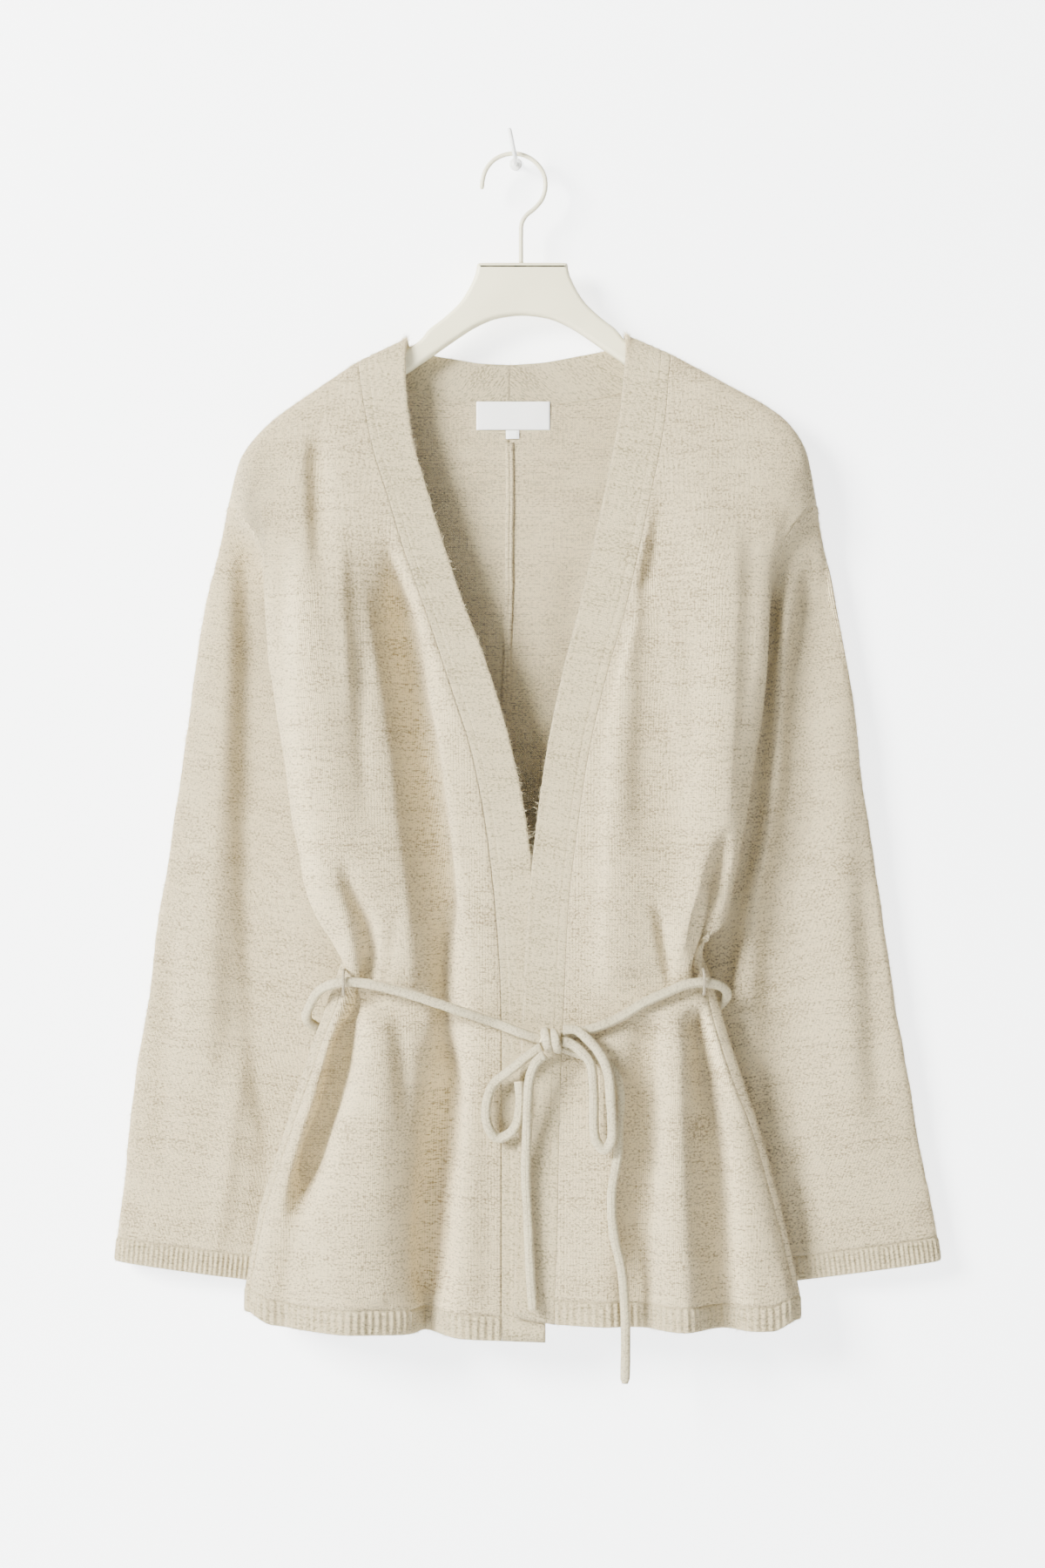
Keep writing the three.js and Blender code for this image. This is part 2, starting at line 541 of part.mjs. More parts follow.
// Ribbed bands: hem, up the V, over the shoulder, along the back neck to the centre.
for (const [side, name] of [[1, 'left'], [-1, 'right']]) {
  const { n } = bands[name];
  let { base } = bands[name];
  const count = BAND_RIBS * 2;
  base = pull(base, ['last', 'bottom'], SEAM / 2);
  const outer = base.map((row, r) => row.map((p, c) => (
    p.clone().addScaledVector(n[r][c], c % 2 ? RIB_BAND : 0))));
  const inner = thick(base, n, WALL);
  const plain = pull(inner, ['last', 'bottom'], BEVEL).map((row) => [row[0], row[count / 2], row[count]]);
  add(`band_${name}`, wall(outer, plain), RIB);
}

// Tubes with flat ends.
function tube(points, radius, sides, steps) {
  const path = new THREE.CatmullRomCurve3(points.map((p) => vec(...p)), false, 'centripetal');
  const shape = new THREE.Shape();
  for (let i = 0; i < sides; i += 1) {
    const a = (2 * Math.PI * (i + 0.5)) / sides;
    if (i) shape.lineTo(radius * Math.cos(a), radius * Math.sin(a));
    else shape.moveTo(radius * Math.cos(a), radius * Math.sin(a));
  }
  return new THREE.ExtrudeGeometry(shape, { steps, extrudePath: path, curveSegments: 1 });
}

// Raised seam inside the centre back.
{
  const ridge = [];
  const foot = [];
  for (const k of [1.1, 3, 5, 7, 9, 11, 14, 18, 21.8]) {
    const p = backPoint(1, k < 4 ? Math.max(k, 0) : k, 0);
    if (k < 4) p.z = -179.5 - 25 * k;
    const y = p.y - WALL - 0.5;
    const row = [];
    for (let i = 0; i <= 6; i += 1) {
      const a = (Math.PI * i) / 6;
      row.push(vec(p.x - 3 * Math.cos(a), y - 2 * Math.sin(a), p.z));
    }
    ridge.push(row);
    foot.push([vec(p.x - 3, y + 0.01 - 0, p.z), vec(p.x + 3, y + 0.01, p.z)]);
  }
  ridge.forEach((row) => row.forEach((p) => p.add(vec(0, -0.3, 0))));
  add('back_seam_ridge', wall(ridge, foot), WOOL);
}

// Label and size tab on the inside of the back neck.
{
  const y = -8.5 - WALL - 0.5;
  const label = new THREE.BoxGeometry(52, 0.8, 20);
  label.translate(-6.5, y - 0.4, -188);
  add('neck_label', label, LABEL);
  const tab = new THREE.BoxGeometry(9.4, 0.8, 6);
  tab.translate(-7, y - 0.4, -201.3);
  add('size_tab', tab, LABEL);
}

// Hanger: half outlines x z, top edge outward then the underside back in.
const HANGER_TOP = [
  [31, -82], [33, -90], [42, -107.5], [55, -120.5], [66, -129], [72, -136.5], [84, -143.5], [103, -152.5],
  [118, -161], [131, -168.5], [145, -177.5], [160, -188.5], [170, -197], [177, -205], [179, -212],
];
const HANGER_UNDER = [
  [176, -217.5], [168, -216], [155, -207], [138, -196], [118, -183], [98, -170.5], [78, -157.5],
  [62, -146.5], [47, -136], [32, -126.5], [17, -120.5], [0, -118.5],
];
{
  const inset = 1.6;
  const half = [...HANGER_TOP, ...HANGER_UNDER];
  const outline = [...half, ...half.slice(0, -1).reverse().map(([x, z]) => [-x, z])];
  const n = outline.length;
  const shrunk = outline.map(([x, z], i) => {
    const [ax, az] = outline[(i + n - 1) % n];
    const [bx, bz] = outline[(i + 1) % n];
    const d = Math.hypot(bx - ax, bz - az);
    return [x + ((bz - az) / d) * inset, z - ((bx - ax) / d) * inset];
  });
  const layers = [[-HANGER_THICK / 2, shrunk], [-HANGER_THICK / 2 + 1.6, outline],
    [HANGER_THICK / 2 - 1.6, outline], [HANGER_THICK / 2, shrunk]];
  const pos = [];
  const idx = [];
  layers.forEach(([y, ring]) => ring.forEach(([x, z]) => pos.push(x, HANGER_Y + y, z)));
  for (let l = 0; l < 3; l += 1) {
    for (let i = 0; i < n; i += 1) {
      const j = (i + 1) % n;
      idx.push(l * n + i, l * n + j, (l + 1) * n + j, l * n + i, (l + 1) * n + j, (l + 1) * n + i);
    }
  }
  const caps = THREE.ShapeUtils.triangulateShape(shrunk.map(([x, z]) => new THREE.Vector2(x, z)), []);
  const a = new THREE.Vector2(shrunk[caps[0][0]][0], shrunk[caps[0][0]][1]);
  const b = new THREE.Vector2(shrunk[caps[0][1]][0], shrunk[caps[0][1]][1]);
  const c = new THREE.Vector2(shrunk[caps[0][2]][0], shrunk[caps[0][2]][1]);
  const turn = b.clone().sub(a).cross(c.clone().sub(a));
  const ringArea = THREE.ShapeUtils.area(shrunk.map(([x, z]) => new THREE.Vector2(x, z)));
  const same = Math.sign(turn) === Math.sign(ringArea);
  for (const [p, q, r] of caps) {
    if (same) {
      idx.push(r, q, p);
      idx.push(3 * n + p, 3 * n + q, 3 * n + r);
    } else {
      idx.push(p, q, r);
      idx.push(3 * n + r, 3 * n + q, 3 * n + p);
    }
  }
  add('hanger_body', solid(pos, idx), HANGER);
}
{
  const y = HANGER_Y;
  const loop = [
    [-28.5, -30], [-28, -24], [-25.5, -16], [-20, -9.5], [-13, -6], [-5, -5], [3, -7], [10, -12],
    [15, -19.5], [16.2, -28], [14, -36.5], [8.5, -43.5], [2.5, -48.5], [-0.5, -54], [-1, -62], [-1, -81.7],
  ].map(([x, z]) => [x, y, z]);
  add('hanger_hook', tube(loop, WIRE, 10, 26), HANGER);
}

// Wall hook, one piece: round base on the wall, a straight pin and a prong turned up.
{
  const path = [
    [ROOT_X, -1.8, ROOT_Z], [ROOT_X, -10.8, ROOT_Z], [ROOT_X, -20.8, ROOT_Z],
    [ROOT_X - 0.3, -25.3, ROOT_Z + 0.8], [ROOT_X - 1.4, -27.8, ROOT_Z + 5],
    [ROOT_X - 2.8, -28.4, ROOT_Z + 12], [ROOT_X - 4.3, -28.6, ROOT_Z + 19.5],
  ].map((p) => vec(...p));
  const line = new THREE.CatmullRomCurve3(path, false, 'centripetal').getSpacedPoints(12);
  const root = [0, -1.5, -1.5].map((y) => vec(ROOT_X, y, ROOT_Z));
  const spine = [...root, ...line];
  const radii = spine.map((_, i) => (i < 2 ? HOOK_BASE : HOOK_PIN));
  const sides = 16;
  const pos = [];
  const idx = [];
  spine.forEach((p, i) => {
    const t = spine[Math.min(spine.length - 1, i + 1)].clone().sub(spine[Math.max(0, i - 1)]).normalize();
    const u = vec(1, 0, 0).addScaledVector(t, -t.x).normalize();
    const w = t.clone().cross(u);
    for (let j = 0; j < sides; j += 1) {
      const a = (2 * Math.PI * j) / sides;
      const q = p.clone().addScaledVector(u, radii[i] * Math.cos(a)).addScaledVector(w, radii[i] * Math.sin(a));
      pos.push(q.x, q.y, q.z);
    }
  });
  const last = (spine.length - 1) * sides;
  for (let j = 0; j < sides; j += 1) {
    const k = (j + 1) % sides;
    for (let r = 0; r < last; r += sides) idx.push(r + j, r + k, r + sides + k, r + j, r + sides + k, r + sides + j);
    if (j > 0 && j < sides - 1) idx.push(0, j + 1, j, last, last + j, last + j + 1);
  }
  add('wall_hook', solid(pos, idx), PIN);
}

// Belt cord: waist round the body, bow, tails, knot and thread loops.
const fine = [];
for (const side of [1, -1]) {
  for (let k = 12; k <= 22; k += 0.25) {
    for (let u = 0; u <= 15; u += 0.5) fine.push(frontPoint(side, k, u));
  }
  const edge = side > 0 ? EDGE_LEFT : EDGE_RIGHT;
  for (let k = 12; k <= 22; k += 0.5) {
    const f = rowOf(edge, k);
    const free = vec(side * f[1], f[2], f[3]);
    for (let t = 0; t <= 1; t += 0.2) fine.push(free.clone().lerp(frontPoint(side, k, 0), t));
  }
}
const frontY = (x, z, reach = 9) => fine.reduce((y, p) => (
  Math.abs(p.x - x) < reach && Math.abs(p.z - Math.max(z, -804)) < reach ? Math.min(y, p.y) : y), 0);
const onFront = (x, z, lift = 0) => [x, frontY(x, z) - RIB_BAND - CORD - 0.5 - lift, z];

const LOOP_X = [-123.5, 125.5];
{
  const left = [
    [12.8, -624, 0], [-2, -619, 0], [-18, -613, 0], [-38, -606, 0], [-60, -598.5, 0], [-80, -592, 0],
    [-100, -587, 0], [-112, -585, 0],
  ].map(([x, z, l]) => onFront(x, z, l));
  const right = [
    [113, -586, 0], [101, -591, 0], [84, -598.5, 0], [70, -607, 0], [55, -614, 0], [42, -618, 0],
    [26.9, -621.5, 0],
  ].map(([x, z, l]) => onFront(x, z, l));
  const round = [
    [LOOP_X[0], -52, -584.5], [-133, -50, -586.5], [-141, -46, -591], [-147, -40, -600],
    [-150.5, -33, -611], [-143, -26.5, -618], [-128, -24.2, -622], [-112, -20, -625],
    [-96, -11.5, -627], [-78, -5, -629], [-50, -4.2, -631], [-18, -4.2, -632], [18, -4.2, -632],
    [50, -4.2, -630], [78, -5, -627], [96, -11, -622], [112, -19, -615], [128, -24.2, -608],
    [139, -29, -601], [142.5, -37, -594], [139, -44.5, -588.5], [133, -49, -586],
    [LOOP_X[1], -52, -584.8],
  ];
  add('belt_waist', tube([...left, ...round, ...right], CORD, 8, 42), CORD_MAT);
}
{
  const knot = new THREE.SphereGeometry(1, 12, 8);
  knot.scale(7, 9, 6.8);
  knot.translate(19.8, -60.5, -624);
  add('belt_knot', knot, CORD_MAT);
}
// Bow and tails: x, depth in front of the cloth, z.
const hang = (pts) => pts.map(([x, l, z]) => onFront(x, z, l));
add('bow_loop_left', tube(hang([
  [13, 7.2, -628.6], [5, 6, -634], [-8, 4, -644.5], [-20, 1, -655], [-25, 0, -669], [-24, 0, -683],
  [-17.5, 0, -692], [-9, 0, -689], [-3.5, 0, -681], [-1.6, 0, -664], [-2.5, 0.5, -653],
]), CORD, 8, 10), CORD_MAT);
add('bow_loop_right', tube(hang([
  [27.1, 7.7, -624.5], [33, 7.7, -626], [40, 7.7, -631], [46.5, 7.6, -639], [48.5, 7, -651],
  [49, 6.4, -667], [49, 6, -682], [51, 6, -693], [56.5, 6.6, -698.5], [61, 7.4, -692],
  [61.5, 7.7, -680], [60.5, 7.7, -664], [59.5, 7.7, -650], [57, 7.7, -640], [51, 7.7, -629.5],
  [44, 7.7, -622], [36.5, 7.8, -616.5], [28, 7.9, -616.5],
]), CORD, 8, 14), CORD_MAT);
add('belt_tail_left', tube(hang([
  [15, 14, -633], [9, 13.5, -639], [5, 12, -650], [3.6, 8.5, -668], [3, 4, -690], [2.4, 1, -718],
  [4, 0, -750], [5, 0, -776], [6.5, 0, -800], [7.5, 2, -811],
]), CORD, 8, 11), CORD_MAT);
add('belt_tail_right', tube(hang([
  [28, 0.4, -629.5], [40, 0.4, -634], [54, 0, -637.5], [63.5, 0, -646], [67, 0, -660], [66, 0, -686],
  [65.5, 0, -704], [61.5, 0, -730], [63, 0, -758], [68, 0, -780], [70.5, 0, -806], [71, 1, -835],
  [70.5, 2, -860],
]), CORD, 8, 15), CORD_MAT);
for (const [i, name] of [[0, 'left'], [1, 'right']]) {
  const x = LOOP_X[i];
  const side = Math.sign(x);
  const top = frontPoint(side, 14.6, 13.4).y;
  const z = -584.6;
  const bar = [[x, top - 1.6, z + 8.5], [x, -52 - 3, z + 6.5], [x, -52 - 5.2, z + 2.5],
    [x, -52 - 5.2, z - 2.5], [x, -52 - 3, z - 6.5], [x, top - 1.6, z - 8.5]];
  add(`belt_loop_${name}`, tube(bar, 1.1, 6, 8), RIB);
}

export default group;
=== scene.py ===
import math
from functools import partial

import bpy
import numpy as np
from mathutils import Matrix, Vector


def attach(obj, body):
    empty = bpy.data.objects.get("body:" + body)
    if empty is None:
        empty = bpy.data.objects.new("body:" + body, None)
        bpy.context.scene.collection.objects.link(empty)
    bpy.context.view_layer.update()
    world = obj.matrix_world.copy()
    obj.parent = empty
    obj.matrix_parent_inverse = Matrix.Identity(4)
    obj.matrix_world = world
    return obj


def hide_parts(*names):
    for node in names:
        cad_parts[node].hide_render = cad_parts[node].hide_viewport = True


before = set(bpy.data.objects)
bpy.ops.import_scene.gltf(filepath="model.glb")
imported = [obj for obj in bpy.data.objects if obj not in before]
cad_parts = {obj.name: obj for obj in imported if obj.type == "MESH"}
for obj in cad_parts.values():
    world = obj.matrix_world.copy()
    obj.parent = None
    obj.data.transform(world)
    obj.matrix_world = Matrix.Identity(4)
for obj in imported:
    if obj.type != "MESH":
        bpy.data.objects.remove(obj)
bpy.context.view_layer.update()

# The tables below are part.mjs's: millimetres about the photo's centre line, x outward on each side.
# WALL and the other sizes are in millimetres; the limits are the furthest back that the cloth's back and
# the inside of a sleeve's front may reach.
SHIFT = np.array([4.9, 0.0, 8.4])
WALL = 2.4
HEM_HEIGHT = 17.0
RIB_PITCH = 5.2
CUFF_PITCH = 3.5
ROWS = 22
NECK_COLS = 7
SHOULDER_COLS = 8
SLEEVE_ROWS = 18
SIDE_COLS = NECK_COLS + SHOULDER_COLS
CORD = 3.4
CORD_GAP = 0.5
WIRE = 1.6
BACK_LIMIT = -0.9
SLEEVE_LIMIT = -10.8
FRONT_GRID = (230, 84)
BACK_GRID = (170, 76)
SLEEVE_GRID_ROWS = 190
BAND_COLUMNS = 55
BAND_WIDTH = 30.0
MM = 0.001
WALL_Y = 0.0006
FLOOR_Z = -1.6
REACH = 4



def rows_in(width, *numbers):
    return np.reshape(numbers, (-1, width)).astype(float)


FRONT = {
    1: [
        [0, 103, -20, -145, -20, 181, -20, -189, 199, -20, -213, 207, -20, -251],
        [1, 103, -26.5, -146.6, -26.5, 181, -26.5, -190.6, 198, -26.5, -214.6, 205, -25.5, -253],
        [2, 103, -30.5, -151, -30.8, 180, -30.8, -195, 196, -30.5, -219, 200, -30.5, -256],
        [3, 102, -32.5, -160, -33.5, 178, -34, -204, 191, -34.5, -229, 194, -34.5, -262],
        [4, 100, -34, -186, -38, 172, -38.5, -230, 183, -38.5, -251, 186, -37, -272],
        [5, 94, -37, -222, -42, 165, -42.5, -262, 174, -41.5, -273, 180, -37, -284],
        [6, 88, -39, -250, -44, 163, -44, -288, 173, -40, -296, 175, -34.5, -303],
        [7, 79, -41, -292, -45, 162, -45, -318, 172, -39, -323, 168, -31.5, -327],
        [8, 71, -43, -327, -46, 161, -46, -352, 171, -39, -355, 158, -29, -358],
        [9, 57, -44, -376, -48, 156, -46.5, -394, 168, -38.5, -396, 137, -26, -398],
        [10, 45, -46, -429, -49, 150, -47, -434, 161, -38.5, -435, 104, -23, -436],
        [11.7, 37, -48, -484, -51, 143, -47.5, -485, 153, -39.5, -485, 112, -28, -486],
        [13.4, 31, -50, -538, -53, 132, -47, -538, 141, -41, -538, 122, -33, -539],
        [14.9, 29, -50, -584, -51, 112, -48, -584, 121, -46.5, -584, 127, -42, -584],
        [16.3, 27, -50, -629, -53, 122, -49.5, -629, 131, -48, -629, 138, -44, -629],
        [18.2, 25, -50, -689, -55, 141, -51, -689, 152, -48, -689, 160, -42, -689],
        [20.1, 24, -50, -750, -56, 158, -50, -749, 169, -46, -749, 177, -39, -748],
        [22, 22, -49, -805, -56, 172, -48, -810, 184, -43.5, -806, 190, -36, -804],
    ],
    -1: [
        [0, 114, -20, -150, -20, 178, -20, -194.5, 198, -20, -219, 207, -20, -252],
        [1, 114, -26.5, -151.6, -26.5, 178, -26.5, -196.1, 197, -26.5, -220.6, 205, -25.5, -254],
        [2, 114, -30.5, -156, -30.8, 177, -30.8, -200.5, 195, -30.5, -225, 200, -30.5, -257],
        [3, 113, -32.5, -165, -33.5, 176, -34, -209, 190, -34.5, -234, 194, -34.5, -263],
        [4, 109, -34, -190, -38, 173, -38.5, -234, 184, -38.5, -253, 187, -37, -272],
        [5, 103, -37, -217, -42, 171, -42.5, -264, 179, -41.5, -274, 181, -37, -284],
        [6, 94, -39, -245, -44, 170, -44, -288, 180, -40, -296, 176, -34.5, -303],
        [7, 82, -41, -285, -45, 169, -45, -318, 179, -39, -323, 169, -31.5, -327],
        [8, 68, -42, -324, -46, 166, -46, -352, 177, -39, -355, 158, -29, -358],
        [9, 50, -43, -378, -47, 159, -46.5, -394, 171, -38.5, -396, 137, -26, -398],
        [10, 34, -44, -429, -48, 151, -47, -434, 162, -38.5, -435, 104, -23, -436],
        [11.7, 24, -45, -484, -50, 143, -47.5, -485, 153, -39.5, -485, 112, -28, -486],
        [13.4, 18, -46, -538, -52, 131, -47, -538, 140, -41, -538, 122, -33, -539],
        [14.9, 15, -46, -584, -50, 110, -48, -584, 119, -46.5, -584, 125, -42, -584],
        [16.3, 14, -46, -629, -52, 124, -49.5, -629, 134, -48, -629, 140, -44, -629],
        [18.2, 14, -46, -689, -54, 143, -51, -689, 153, -48, -689, 161, -42, -689],
        [20.1, 14, -46, -750, -55, 160, -50, -749, 172, -46, -749, 180, -39, -748],
        [22, 14, -45, -817, -55, 172, -48, -806, 184, -43.5, -801, 190, -36, -798],
    ],
}
EDGE = {
    1: rows_in(4,
        0, 72.5, -20, -132, 1, 72.5, -26.5, -133.5, 2, 72.5, -30.5, -138, 3, 72, -32.5, -147, 4, 69, -34, -181, 5,
        63.5, -37, -214, 6, 57.5, -39, -243, 7, 49, -41, -284, 8, 41.5, -43, -318, 9, 28.5, -45, -368, 10, 17, -47,
        -424, 11.7, 9, -48.5, -482, 13.4, 3.5, -50, -537, 14.9, 1, -50, -584, 16.3, -1, -50, -629, 18.2, -3, -50,
        -689, 20.1, -5, -50, -750, 22, -6, -49, -800),
    -1: rows_in(4,
        0, 81.5, -20, -134.5, 1, 81.5, -26.5, -136, 2, 82, -30.5, -140.5, 3, 82, -32.5, -149, 4, 80, -34, -184, 5,
        76, -37, -209, 6, 68, -39, -237, 7, 57.5, -41, -272, 8, 45, -42, -310, 9, 24, -43, -366, 10, 7.5, -44, -422,
        11.7, -4, -45, -482, 13.4, -9, -46, -538, 14.9, -11, -46, -584, 16.3, -13, -46, -629, 18.2, -15, -46, -689,
        20.1, -16, -46, -750, 22, -16, -45, -818),
}
NECK = {
    1: rows_in(6,
        103, -20, -145, 72.5, -20, -132, 102.5, -13.5, -147.5, 72, -13.5, -133.5, 100, -10, -154, 69.5, -10, -137.5,
        89, -9, -163.5, 62, -9, -141, 71, -8.5, -171, 52, -8.5, -143.5, 48, -8.5, -176.5, 36, -8.5, -146.5, 20,
        -8.5, -179, 13, -8.5, -150.5, -9, -8.5, -179.5, -9, -8.5, -152),
    -1: rows_in(6,
        114, -20, -150, 81.5, -20, -134.5, 113, -13.5, -152.5, 81, -13.5, -136, 109, -10, -158, 79, -10, -140, 95,
        -9, -165, 73, -9, -143, 77, -8.5, -169.5, 63, -8.5, -145.5, 58, -8.5, -175.5, 48, -8.5, -148, 35, -8.5,
        -178.5, 29, -8.5, -151, 9, -8.5, -179.5, 9, -8.5, -152),
}
BACK = [
    [4, 113, -8, -198, 145, -8, -212, 172, -8, -232, 185, -8, -254, 192, -8, -277],
    [5, 114, -8, -227, 145, -8, -242, 167, -8, -260, 178, -8, -276, 185, -8, -292],
    [6, 112, -8, -257, 140, -8, -272, 161, -8, -288, 171, -8, -299, 177, -8, -310],
    [7, 108, -8, -292, 134, -8, -304, 154, -8, -316, 163, -8, -324, 169, -8, -331],
    [8, 103, -8, -327, 127, -8, -337, 145, -8, -347, 153, -8, -354, 158, -8, -360],
    [9, 94, -8, -374, 112, -8.5, -382, 125, -9.5, -390, 131, -11, -396, 137, -13, -400],
    [10, 74, -8, -424, 86, -10.5, -429, 94, -15, -432, 99, -19.5, -434, 104, -23, -436],
    [11.7, 74, -8.5, -484, 89, -13, -484, 99, -20.5, -485, 106, -25.5, -485, 112, -28, -486],
    [13.4, 75, -8.5, -538, 92, -15, -538, 104, -25, -538, 113, -31, -538, 122, -33, -539],
    [14.9, 74, -9, -584, 93, -17, -584, 110, -29, -584, 134, -36, -584, 127, -42, -584],
    [16.3, 76, -9, -629, 99, -18, -629, 121, -29, -629, 147, -36, -629, 138, -44, -629],
    [18.2, 80, -8, -689, 107, -17, -689, 137, -27, -689, 167, -34, -689, 160, -42, -689],
    [20.1, 86, -7, -749, 115, -16, -749, 151, -26, -749, 183, -32, -748, 177, -39, -748],
    [22, 90, -6, -806, 121, -15, -806, 159, -24, -805, 195, -29, -804, 190, -36, -804],
]
# Folds: x z at the top, middle and end, half width, height (- is a trough).
FOLDS = {
    1: [
        [122, -203, 124, -350, 120, -505, 17, 4.5],
        [86, -205, 84, -350, 80, -520, 13, -3],
        [133, -520, 124, -556, 114, -585, 11, 4],
        [117, -525, 115, -550, 110, -580, 8, -3],
        [88, -600, 88, -700, 79, -812, 13, -3],
        [118, -660, 119, -715, 120, -775, 12, -3],
        [108, -610, 104, -700, 100, -812, 11, 3],
        [62, -600, 60, -700, 54, -812, 14, 2.5],
    ],
    -1: [
        [158, -245, 150, -340, 128, -520, 16, 3.5],
        [140, -205, 139, -240, 138, -275, 12, -2],
        [96, -285, 76, -430, 60, -585, 12, -4],
        [66, -370, 50, -470, 38, -580, 13, 3.5],
        [102, -555, 103, -580, 104, -608, 9, -3],
        [96, -615, 97, -710, 98, -805, 16, 3.5],
        [61, -615, 60, -710, 60, -800, 11, -3.5],
        [36, -620, 36, -710, 35, -805, 12, 3],
        [124, -600, 140, -665, 166, -760, 10, -3],
    ],
    0: [
        [60, -230, 56, -400, 52, -560, 18, 2],
        [52, -640, 58, -730, 66, -800, 18, 2],
        [120, -240, 112, -300, 104, -370, 14, 1.5],
    ],
}
# Soft folds that only the render has: inner and outer half width, height, fade at the top and the end,
# then the x z pairs of its line from the top down. x is outward; a fold may be steeper on one side.
SWELLS = {
    1: [
        [22, 11, 4, 70, 50, 146, -235, 144, -340, 141, -430, 135, -500, 122, -575],
        [22, 20, -3.5, 60, 60, 97, -240, 95, -340, 94, -430, 96, -520],
        [9, 22, 4.5, 60, 30, 84, -290, 74, -360, 66, -430, 62, -500, 60, -560, 60, -600],
        [6, 6, -6.5, 40, 14, 142, -470, 136, -500, 132, -521, 126, -557, 122, -590],
        [9, 7, 3.5, 40, 12, 126, -480, 118, -521, 112, -557, 110, -592],
        [5, 5, -3, 30, 12, 92, -520, 98, -556, 106, -594],
        [22, 9, -9, 14, 20, 131, -600, 133, -640, 134, -667, 138, -704, 141, -740, 145, -830],
        [13, 15, 5, 16, 20, 104, -596, 108, -640, 109, -680, 111, -740, 114, -830],
        [16, 8, -4, 16, 20, 94, -604, 90, -640, 88, -700, 85, -760, 82, -830],
        [6, 8, -2.5, 20, 60, 118, -596, 124, -630, 130, -700],
        [10, 14, 0.5, 20, 20, 40, -640, 38, -700, 36, -830],
        [14, 12, -2, 50, 80, 120, -330, 112, -420, 104, -540],
        [5, 9, 1.6, 40, 40, 100, -300, 104, -370, 112, -450],
    ],
    -1: [
        [40, 12, 3.6, 70, 50, 150, -235, 148, -330, 143, -430, 133, -505, 124, -560],
        [16, 8, -8.5, 60, 26, 92, -270, 82, -338, 75, -386, 69, -435, 62, -484, 57, -521, 54, -557, 52, -620],
        [10, 42, -6.5, 70, 26, 92, -260, 81, -338, 68, -435, 56, -521, 52, -620],
        [10, 40, 4.5, 80, 16, 116, -280, 108, -340, 100, -386, 93, -435, 88, -484, 82, -521, 78, -600],
        [30, 11, 3.5, 80, 50, 154, -270, 153, -380, 150, -435, 142, -500, 131, -560],
        [9, 8, -4, 30, 50, 144, -190, 143, -215, 142, -250, 139, -320],
        [7, 5, -6, 40, 10, 124, -490, 118, -521, 108, -545, 106, -562, 108, -592],
        [5, 8, 3, 30, 10, 128, -520, 119, -555, 117, -590],
        [4, 6, -2, 30, 12, 86, -530, 90, -560, 97, -596],
        [12, 22, -8, 26, 20, 52, -592, 50, -640, 53, -667, 56, -704, 60, -740, 62, -777, 64, -835],
        [12, 8, -9, 26, 20, 52, -592, 51, -640, 54, -667, 57, -704, 61, -740, 64, -835],
        [18, 26, 5.5, 16, 20, 98, -598, 104, -640, 108, -680, 112, -720, 118, -760, 124, -835],
        [12, 6, -9.5, 8, 60, 119, -584, 125, -624, 136, -667, 149, -704, 160, -760],
        [20, 5, -4, 8, 40, 120, -584, 127, -624, 138, -667, 151, -704, 162, -760],
        [8, 8, -2, 30, 20, 150, -720, 160, -760, 168, -830],
        [6, 6, -2.2, 12, 50, 88, -600, 84, -640, 80, -690],
        [5, 9, 1.8, 60, 60, 128, -250, 124, -330, 118, -420],
        [6, 6, -1.4, 40, 60, 112, -330, 112, -400, 106, -480],
    ],
    0: [
        [16, 12, 4, 60, 50, 34, -225, 30, -330, 26, -470, 22, -590],
        [12, 16, -4.5, 60, 50, 64, -230, 60, -330, 52, -470, 44, -600],
        [10, 14, 4, 60, 50, 92, -235, 84, -330, 74, -450, 66, -590],
        [14, 18, -4, 40, 20, 24, -640, 26, -720, 30, -830],
        [16, 12, 5, 30, 20, 50, -636, 54, -720, 60, -830],
        [10, 16, -4.5, 30, 20, 80, -640, 88, -720, 98, -830],
        [12, 10, 3.5, 30, 20, 106, -650, 116, -720, 130, -830],
        [5, 8, -2, 20, 30, 100, -560, 84, -590, 70, -625],
        [6, 6, 1.8, 20, 30, 60, -560, 52, -590, 40, -626],
    ],
}
